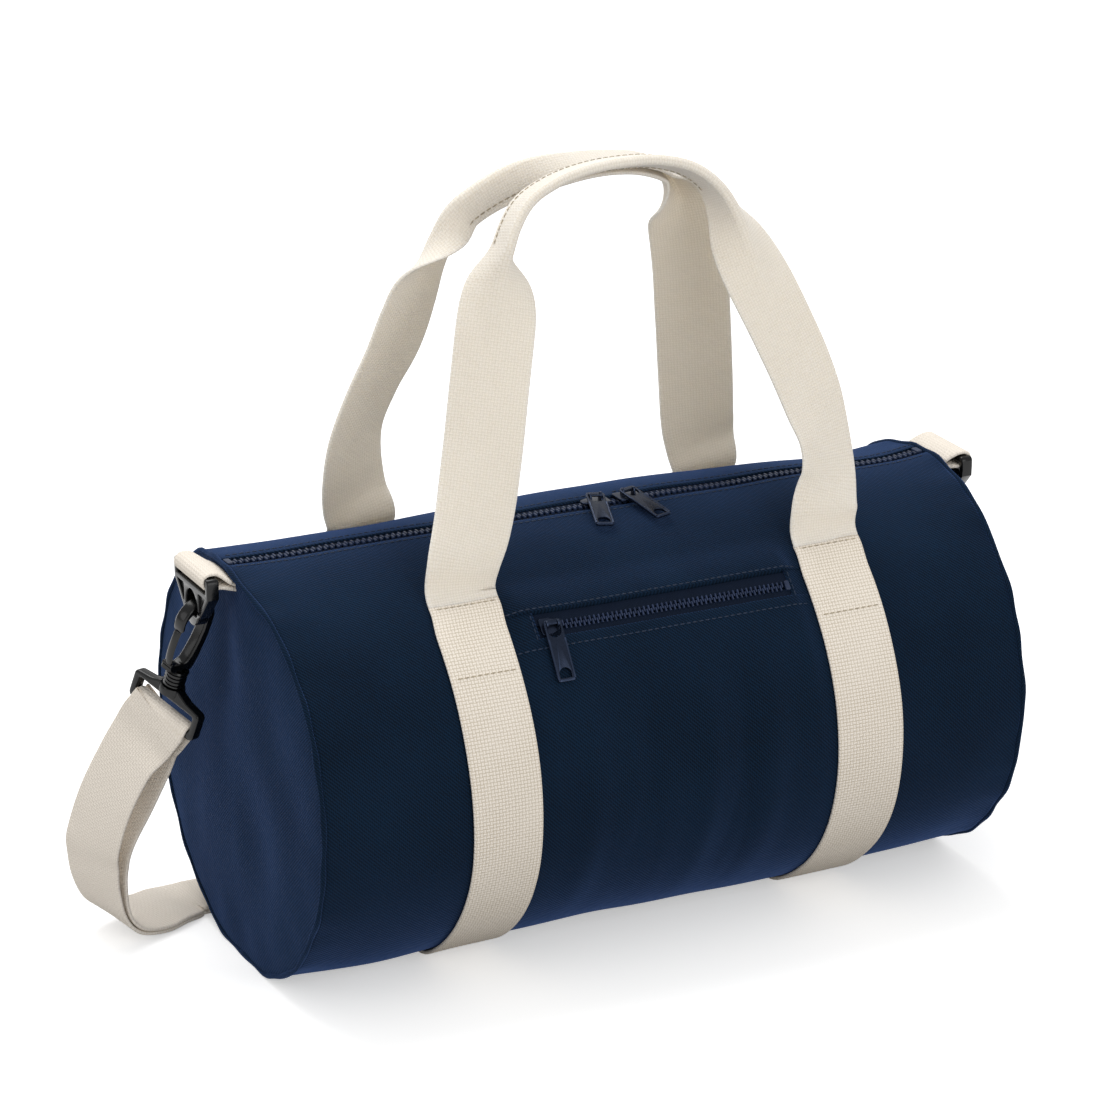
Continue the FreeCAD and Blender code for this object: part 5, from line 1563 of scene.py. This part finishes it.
class BAG_OT_hooks(bpy.types.Operator):
    """Make the swivel snap hooks, their sprung gates and the rectangular strap bases."""

    bl_idname = "bag.hooks"
    bl_label = "Snap hooks"

    def hook_outline(self):
        """Outline of the hook's shank and beak, round its eye."""
        outline = [(-5.6, HOOK_BLOCK), (-7.4, -34.6), (-9.4, -28.0), (-11.2, -19.0), (-11.8, -12.0)]
        inner = []
        for angle in spread(180, -24, 30):
            share = (180 - angle) / 204
            turn = math.radians(angle)
            outer = 11.8 - 1.0 * smoothstep((share - 0.45) / 0.55)
            eye = 6.6 + 2.1 * smoothstep((share - 0.4) / 0.6)
            outline.append((outer * math.cos(turn), -6.6 + outer * math.sin(turn)))
            inner.append((eye * math.cos(turn), -6.6 + eye * math.sin(turn)))
        outline += list(reversed(inner))
        outline += [(-6.7, -13.0), (-5.4, -20.0), (-3.2, -27.0), (-1.4, -30.8), (1.2, -32.3), (4.0, -32.6)]
        outline += [(8.2, -31.6), (10.6, -32.0), (10.8, -34.0), (8.2, -35.8), (5.2, HOOK_BLOCK)]
        return outline

    def hook(self, name, hang):
        """Hook with a rib on its shank, over a ridged swivel block."""
        upright = hang @ Matrix(((1, 0, 0, 0), (0, 0, -1, 0), (0, 1, 0, 0), (0, 0, 0, 1)))
        forms = [plate_form([self.hook_outline()], 7.0, 1.5, upright)]
        rib = [hang @ Vector((-9.2, y, z)) for y, z in ((-3.6, -12), (-3.7, -18), (-3.7, -24), (-3.5, -30))]
        forms.append(rod_form(rib, 0.8, 8))
        profile = [(0.4, HOOK_BLOCK + 0.6), (5.6, HOOK_BLOCK + 0.6), (6.1, HOOK_BLOCK - 0.2)]
        for ridge in range(4):
            top = HOOK_BLOCK - 0.6 - 2.05 * ridge
            profile += [(5.0, top), (5.0, top - 0.45), (5.7, top - 0.8), (5.7, top - 1.6), (5.0, top - 2.0)]
        pin_end = HOOK_SWIVEL - 5.0
        profile += [(4.8, HOOK_SWIVEL), (2.5, HOOK_SWIVEL), (2.5, pin_end), (0.4, pin_end)]
        forms.append(lathe_form(profile, hang))
        hook = make_piece("hook_moulded_" + name, forms, finish("plastic"), CRISP_BLOCK)
        place_piece(hook, "clip_" + name, "black_plastic", "hook_" + name)

    def gate(self, name, hang):
        """Sprung gate: a flat blade from its knuckle to the hook's beak."""
        path = [(9.0, -31.6), (9.9, -27.5), (10.3, -22.5), (10.2, -17.5), (9.7, -13.2), (9.3, -11.4)]
        line = smooth_line([(x, 0.0, z) for x, z in path], 4)
        across = hang.to_3x3() @ Vector((0, 1, 0))
        blade = rod_form([hang @ Vector(point) for point in line], 2.3, 12, 0.42, across)
        knuckle = rod_form([hang @ Vector((9.2, y, -31.5)) for y in spread(-3.3, 3.3, 6)], 1.15, 12)
        gate = make_piece("gate_moulded_" + name, [blade, knuckle], finish("plastic"), CRISP_BLOCK)
        place_piece(gate, "gate_" + name, "black_plastic", "hook_gate_" + name)

    def base(self, name, hang):
        """Rectangular strap base with a round bar, under the collar that turns on the hook's pin."""
        upright = hang @ Matrix(((0, 0, 1, 0), (1, 0, 0, 0), (0, 1, 0, 0), (0, 0, 0, 1)))
        edge = 23.4
        outline = [(-6.2, BASE_TOP), (-8.4, BASE_TOP - 1.1), (-13.0, BASE_TOP - 2.9)]
        outline.append((2.2 - edge, BASE_TOP - 4.1))
        outline += arc_line(2.6 - edge, BASE_TOP - 6.7, 2.6, 120, 180, 5)
        outline += arc_line(3.0 - edge, BASE_BAR + 0.5, 3.0, 180, 270, 7)
        outline += [(-across, up) for across, up in reversed(outline)]
        slot = rounded_box(-19.5, 19.5, BASE_BAR + 2.5, BASE_SLOT_TOP, 1.4)
        forms = [plate_form([outline, slot], 6.2, 1.3, upright)]
        bar = [hang @ Vector((0, y, BASE_BAR)) for y in spread(-21.5, 21.5, 10)]
        forms.append(rod_form(bar, 2.5, 12))
        collar = [(3.4, BASE_TOP + 0.2), (6.4, BASE_TOP + 0.2), (6.9, BASE_TOP - 1.5)]
        collar += [(6.6, BASE_TOP - 4.1), (3.4, BASE_TOP - 5.9)]
        forms.append(lathe_form(collar, hang))
        base = make_piece("base_moulded_" + name, forms, finish("plastic"), CRISP_BLOCK)
        place_piece(base, "swivel_" + name, "black_plastic", "swivel_base_" + name)

    def execute(self, context):
        for name, side in SIDES:
            hang = hang_matrix(side)
            self.hook(name, hang)
            self.gate(name, hang)
            self.base(name, hang)
        return {"FINISHED"}


class BAG_OT_strap(bpy.types.Operator):
    """Make the shoulder strap: its loops, hanging legs, floor run, second layer and slide adjuster."""

    bl_idname = "bag.strap"
    bl_label = "Shoulder strap"

    def loop(self, name, hang):
        """Loop of webbing round the bar of a base."""
        path = [(STRAP_WRAP, LOOP_END), (STRAP_WRAP, LOOP_END + 4)]
        path += [(a, BASE_BAR + b) for a, b in arc_line(0, 0, STRAP_WRAP, 0, 180, 15)]
        path += [(-STRAP_WRAP, LOOP_END + 4), (-STRAP_WRAP, LOOP_END)]
        skew = LEFT_SKEW if name == "left" else RIGHT_SKEW
        centres = [hang @ Vector((x, skew * min(0, z - BASE_BAR), z)) for x, z in path]
        lie = hang.to_3x3()
        middle = hang @ Vector((0, 0, BASE_BAR - 4))
        outward = [point - middle for point in centres]
        stations = path_stations(centres, [lie @ Vector((0, 1, 0))] * len(centres), outward)
        loop = make_piece("loop_web_" + name, [web_form(stations)], finish("webbing"), CRISP_CLOTH)
        place_piece(loop, "swivel_" + name, "cream_webbing", "strap_loop_" + name)

    def leg_rows(self, side, hang, shares, reach, run_y):
        """Stations of a hanging leg: centre and width direction."""
        half = barrel_half()
        lie = hang.to_3x3()
        across = lie @ Vector((0, 1, 0))
        if across.y > 0:
            across = -across
        start = hang @ Vector((STRAP_WRAP if side < 0 else 0.0, 0, LOOP_END))
        end = Vector((side * (half - RUN_INSET), run_y, RUN_HEIGHT))
        slant = Vector((0, LEFT_SKEW if side < 0 else RIGHT_SKEW, 1))
        first = start + lie @ Vector((0, slant.y * (LOOP_END - BASE_BAR), 0))
        rows = [(first, across), (first - lie @ (slant.normalized() * STRAP_LEAD), across)]
        for out_share, back_share, height_share, x_share, z_share in shares:
            place = Vector((
                side * (half + reach * out_share), start.y + (end.y - start.y) * back_share,
                end.z + (start.z - end.z) * height_share
            ))
            rows.append((place, Vector((x_share, -math.sqrt(1 - x_share ** 2 - z_share ** 2), z_share))))
        flat = Vector((0, -1, 0))
        turn = Vector((side * STRAP_LEAD, -RUN_TURN, 0))
        return rows + [(end + turn, flat), (end, flat)]

    def second_layer(self, rows, hang):
        """Inner layer of a doubled leg, parted from the outer layer where it hangs slack."""
        last = len(rows) - 1
        layer = []
        for index, (centre, across) in enumerate(rows):
            along = rows[min(index + 1, last)][0] - rows[max(index - 1, 0)][0]
            shift = across.cross(along).normalized() * LAYER_STEP
            if index < 2:
                shift = hang.to_3x3() @ Vector((-2 * STRAP_WRAP, 0, 0))
            elif index - 2 < len(LEFT_LEG_PARTING):
                shift *= LEFT_LEG_PARTING[index - 2] / LAYER_STEP
            layer.append((centre + shift, across))
        return layer

    def leg_line(self, rows, side):
        """Stations of one layer, close enough together to bend smoothly."""
        line = smooth_line([(*centre, *across) for centre, across in rows], LEG_STEPS)
        hints = [Vector(row[3:6]) for row in line]
        outward = [Vector((side, 0.25, -0.35))] * len(line)
        return path_stations([Vector(row[:3]) for row in line], hints, outward)

    def single_layers(self, line):
        """Single leg that eases in from the loop, and the short sewn tail behind it."""
        layers = ([], [])
        for index, (centre, *directions) in enumerate(line):
            gap = STRAP_WRAP * (1 - smoothstep(index / (LEG_EASE_SHARE * len(line))))
            layers[0].append((centre + directions[1] * gap, *directions))
            if index < LEG_TAIL:
                gap -= 2 * STRAP_WRAP + (LAYER_STEP - 2 * STRAP_WRAP) * smoothstep(index / LEG_TAIL)
                layers[1].append((centre + directions[1] * gap, *directions))
        return layers

    def leg(self, name, side, hang, shares, reach, run_y):
        """Both layers of a leg, each in an upper part and a lower part below it."""
        rows = self.leg_rows(side, hang, shares, reach, run_y)
        line = self.leg_line(rows, side)
        node = "strap_leg_" + name
        if side < 0:
            layers = [(node, line), (node + "_inner", self.leg_line(self.second_layer(rows, hang), side))]
        else:
            layers = [(node, layer) for layer in self.single_layers(line)]
        for number, (solid, layer) in enumerate(layers, 1):
            form = web_form(layer[:LEG_SPLIT + 1])
            upper = make_piece(f"leg_web_{name}_upper_{number}", [form], finish("webbing"), CRISP_CLOTH)
            bend_piece(
                upper, ("clip_" + name, "swivel_" + name), line[LEG_SPLIT - BEND_MARGIN][0],
                line[LEG_START][0], "cream_webbing", solid
            )
            run = sum((b[0] - a[0]).length for a, b in zip(layer[:LEG_SPLIT], layer[1:LEG_SPLIT + 1]))
            form = web_form(layer[LEG_SPLIT:], run)
            lower = make_piece(f"leg_web_{name}_lower_{number}", [form], finish("webbing"), CRISP_CLOTH)
            bend_piece(
                lower, ("bag", "clip_" + name), line[-LEG_LANDING][0], line[LEG_SPLIT + BEND_MARGIN][0],
                "cream_webbing", solid
            )

    def flat_band(self, name, points):
        """Webbing that lies along the floor through points."""
        up = [Vector((0, 0, 1))] * len(points)
        stations = path_stations(points, [Vector((0, 1, 0))] * len(points), up)
        return make_piece(name, [web_form(stations)], finish("webbing"), CRISP_CLOTH)

    def floor_run(self, run_y):
        """Run along the floor behind the barrel, the layer that returns over it and the slide adjuster."""
        half = barrel_half() - RUN_INSET
        reach = half + RUN_OVERLAP
        low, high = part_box("strap_adjuster")
        middle = (low[0] + high[0]) / 2 / MM
        height = RUN_HEIGHT - RUN_TUCK
        points = [Vector((x, run_y, height)) for x in spread(-reach, reach, 80)]
        run = self.flat_band("floor_run_web", points)
        place_piece(run, "bag", "cream_webbing", "strap_floor_run")
        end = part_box("strap_return_layer")[1][0] / MM
        height += LAYER_STEP
        points = [Vector((x, run_y, height)) for x in spread(-reach, end, 40)]
        layer = self.flat_band("return_layer_web", points)
        bend_piece(
            layer, ("bag", "adjuster"), (-half, run_y, height), (end - RUN_INSET, run_y, height),
            "cream_webbing", "strap_return_layer"
        )
        climb = [(-9.0, 2.0), (-7.6, 2.9), (-4.6, 5.4), (0.0, 6.6), (4.6, 5.4), (7.6, 2.9), (9.0, 2.0)]
        line = smooth_line([(middle + x, run_y, z) for x, z in climb], 6)
        hump = self.flat_band("adjuster_hump_web", [Vector(point) for point in line])
        place_piece(hump, "adjuster", "cream_webbing")
        place = Matrix.Translation((middle, run_y, (low[2] + high[2]) / 2 / MM))
        slots = [rounded_box(-9.4, -2.6, -19.5, 19.5, 1.2), rounded_box(2.6, 9.4, -19.5, 19.5, 1.2)]
        frame_form = plate_form([rounded_box(-12.9, 12.9, -22.4, 22.4, 3.0)] + slots, 2.5, 0.7, place)
        grips = []
        for x in (-1.2, 0.0, 1.2):
            grips.append(rod_form([place @ Vector((x, y, -1.25)) for y in spread(-18, 18, 6)], 0.35, 6))
        adjuster = make_piece("adjuster_moulded", [frame_form] + grips, finish("plastic"), CRISP_BLOCK)
        place_piece(adjuster, "adjuster", "black_plastic", "strap_adjuster")

    def execute(self, context):
        low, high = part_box("strap_return_layer")
        run_y = (low[1] + high[1]) / 2 / MM
        sides = (("left", -1, LEFT_LEG_SHARES, "left_reach"), ("right", 1, RIGHT_LEG_SHARES, "right_reach"))
        for name, side, shares, reach in sides:
            hang = hang_matrix(side)
            self.loop(name, hang)
            self.leg(name, side, hang, shares, size(reach), run_y)
        self.floor_run(run_y)
        return {"FINISHED"}


class BAG_OT_stage(bpy.types.Operator):
    """Set the pale floor, the soft lights and the camera."""

    bl_idname = "bag.stage"
    bl_label = "Stage"

    def floor(self):
        """Matt white paper sweep: it takes the bag's shadow and shows plain white to the eye elsewhere."""
        mesh = bpy.data.meshes.new("studio_floor")
        corners = [(across * FLOOR_REACH, deep * FLOOR_REACH, -FLOOR_DROP)
                   for across, deep in ((-1, -1), (1, -1), (1, 1), (-1, 1))]
        mesh.from_pydata(corners, [], [(0, 1, 2, 3)])
        material, tree = new_material("white_paper_sweep_matt")
        rays = add_node(tree, "LightPath")
        seen = add_node(
            tree, "Math", {0: rays.outputs["Is Camera Ray"], 1: rays.outputs["Is Glossy Ray"]},
            operation="MAXIMUM"
        ).outputs[0]
        seen = add_node(
            tree, "Math", {0: seen, 1: rays.outputs["Is Transmission Ray"]}, operation="MAXIMUM"
        ).outputs[0]
        paper = add_node(tree, "BsdfDiffuse", {"Color": linear("#f4f4f4")})
        bounce = add_node(tree, "BsdfDiffuse", {"Color": linear("#b4b4b4")})
        glow = add_node(tree, "Emission", {"Color": linear("#ffffff"), "Strength": FLOOR_GLOW})
        both = add_node(tree, "AddShader", {0: paper.outputs[0], 1: glow.outputs[0]})
        mix = add_node(tree, "MixShader", {0: seen, 1: bounce.outputs[0], 2: both.outputs[0]})
        add_node(tree, "OutputMaterial", {"Surface": mix.outputs[0]})
        mesh.materials.append(material)
        floor = bpy.data.objects.new("studio_floor", mesh)
        bpy.context.scene.collection.objects.link(floor)

    def world(self, scene):
        """White surroundings that light the bag more softly than they look."""
        world = bpy.data.worlds.new("studio_world")
        world.use_nodes = True
        tree = world.node_tree
        tree.nodes.clear()
        rays = add_node(tree, "LightPath")
        seen = add_node(
            tree, "Math", {0: rays.outputs["Is Camera Ray"], 1: rays.outputs["Is Transmission Ray"]},
            operation="MAXIMUM"
        ).outputs[0]
        soft = add_node(tree, "Background", {"Color": linear("#ffffff"), "Strength": WORLD_LIGHT})
        white = add_node(tree, "Background", {"Color": linear("#ffffff"), "Strength": 1.0})
        mix = add_node(tree, "MixShader", {0: seen, 1: soft.outputs[0], 2: white.outputs[0]})
        add_node(tree, "OutputWorld", {"Surface": mix.outputs[0]})
        scene.world = world

    def lamp(self, name, place, target, reach, power):
        """Round softbox turned to its target."""
        data = bpy.data.lights.new(name, "AREA")
        data.shape = "DISK"
        data.size = reach
        data.energy = power
        lamp = bpy.data.objects.new(name, data)
        lamp.location = place
        lamp.rotation_euler = (Vector(target) - Vector(place)).to_track_quat("-Z", "Y").to_euler()
        bpy.context.scene.collection.objects.link(lamp)

    def camera(self, scene):
        """Camera where the photograph was taken from."""
        around = math.radians(CAMERA_AZIMUTH)
        above = math.radians(CAMERA_ELEVATION)
        roll = math.radians(CAMERA_ROLL)
        level = math.cos(above)
        back = Vector((math.sin(around) * level, -math.cos(around) * level, math.sin(above)))
        right = Vector((math.cos(around), math.sin(around), 0))
        up = back.cross(right)
        side = right * math.cos(roll) + up * math.sin(roll)
        head = up * math.cos(roll) - right * math.sin(roll)
        data = bpy.data.cameras.new("photo_camera")
        data.sensor_width = CAMERA_SENSOR
        data.lens = CAMERA_LENS
        data.clip_end = CAMERA_FAR
        camera = bpy.data.objects.new("photo_camera", data)
        rows = [[side[i], head[i], back[i], CAMERA_PLACE[i] * MM] for i in range(3)]
        camera.matrix_world = Matrix(rows + [[0, 0, 0, 1]])
        scene.collection.objects.link(camera)
        scene.camera = camera

    def execute(self, context):
        scene = context.scene
        scene.view_settings.view_transform = "Standard"
        self.floor()
        self.world(scene)
        for softbox in SOFTBOXES:
            self.lamp(*softbox)
        self.camera(scene)
        return {"FINISHED"}


class BAG_PT_sidebar(bpy.types.Panel):
    """Sizes, colours and build steps of the bag."""

    bl_idname = "BAG_PT_sidebar"
    bl_label = "Barrel bag"
    bl_space_type = "VIEW_3D"
    bl_region_type = "UI"
    bl_category = "Barrel bag"

    def draw(self, context):
        """List the sizes and colours, then the build steps."""
        for group in (context.scene.bag_sizes, context.scene.bag_colours):
            column = self.layout.column(align=True)
            for name in group.__annotations__:
                column.prop(group, name)
        for operator in OPERATORS:
            self.layout.operator(operator.bl_idname)


OPERATORS = (
    BAG_OT_stage, BAG_OT_barrel, BAG_OT_ends, BAG_OT_lip, BAG_OT_pocket, BAG_OT_zips, BAG_OT_sliders,
    BAG_OT_wraps, BAG_OT_handles, BAG_OT_rings, BAG_OT_hooks, BAG_OT_strap,
)
CLASSES = (BagSizes, BagColours) + OPERATORS + (BAG_PT_sidebar,)


def register():
    """Register the classes and the scene's two groups of settings."""
    for item in CLASSES:
        bpy.utils.register_class(item)
    bpy.types.Scene.bag_sizes = PointerProperty(type=BagSizes)
    bpy.types.Scene.bag_colours = PointerProperty(type=BagColours)


def unregister():
    """Remove the settings and the classes."""
    del bpy.types.Scene.bag_colours
    del bpy.types.Scene.bag_sizes
    for item in reversed(CLASSES):
        bpy.utils.unregister_class(item)


def main():
    """Build the bag on its stage."""
    register()
    for operator in OPERATORS:
        group, name = operator.bl_idname.split(".")
        getattr(getattr(bpy.ops, group), name)()


if __name__ == "__main__":
    main()
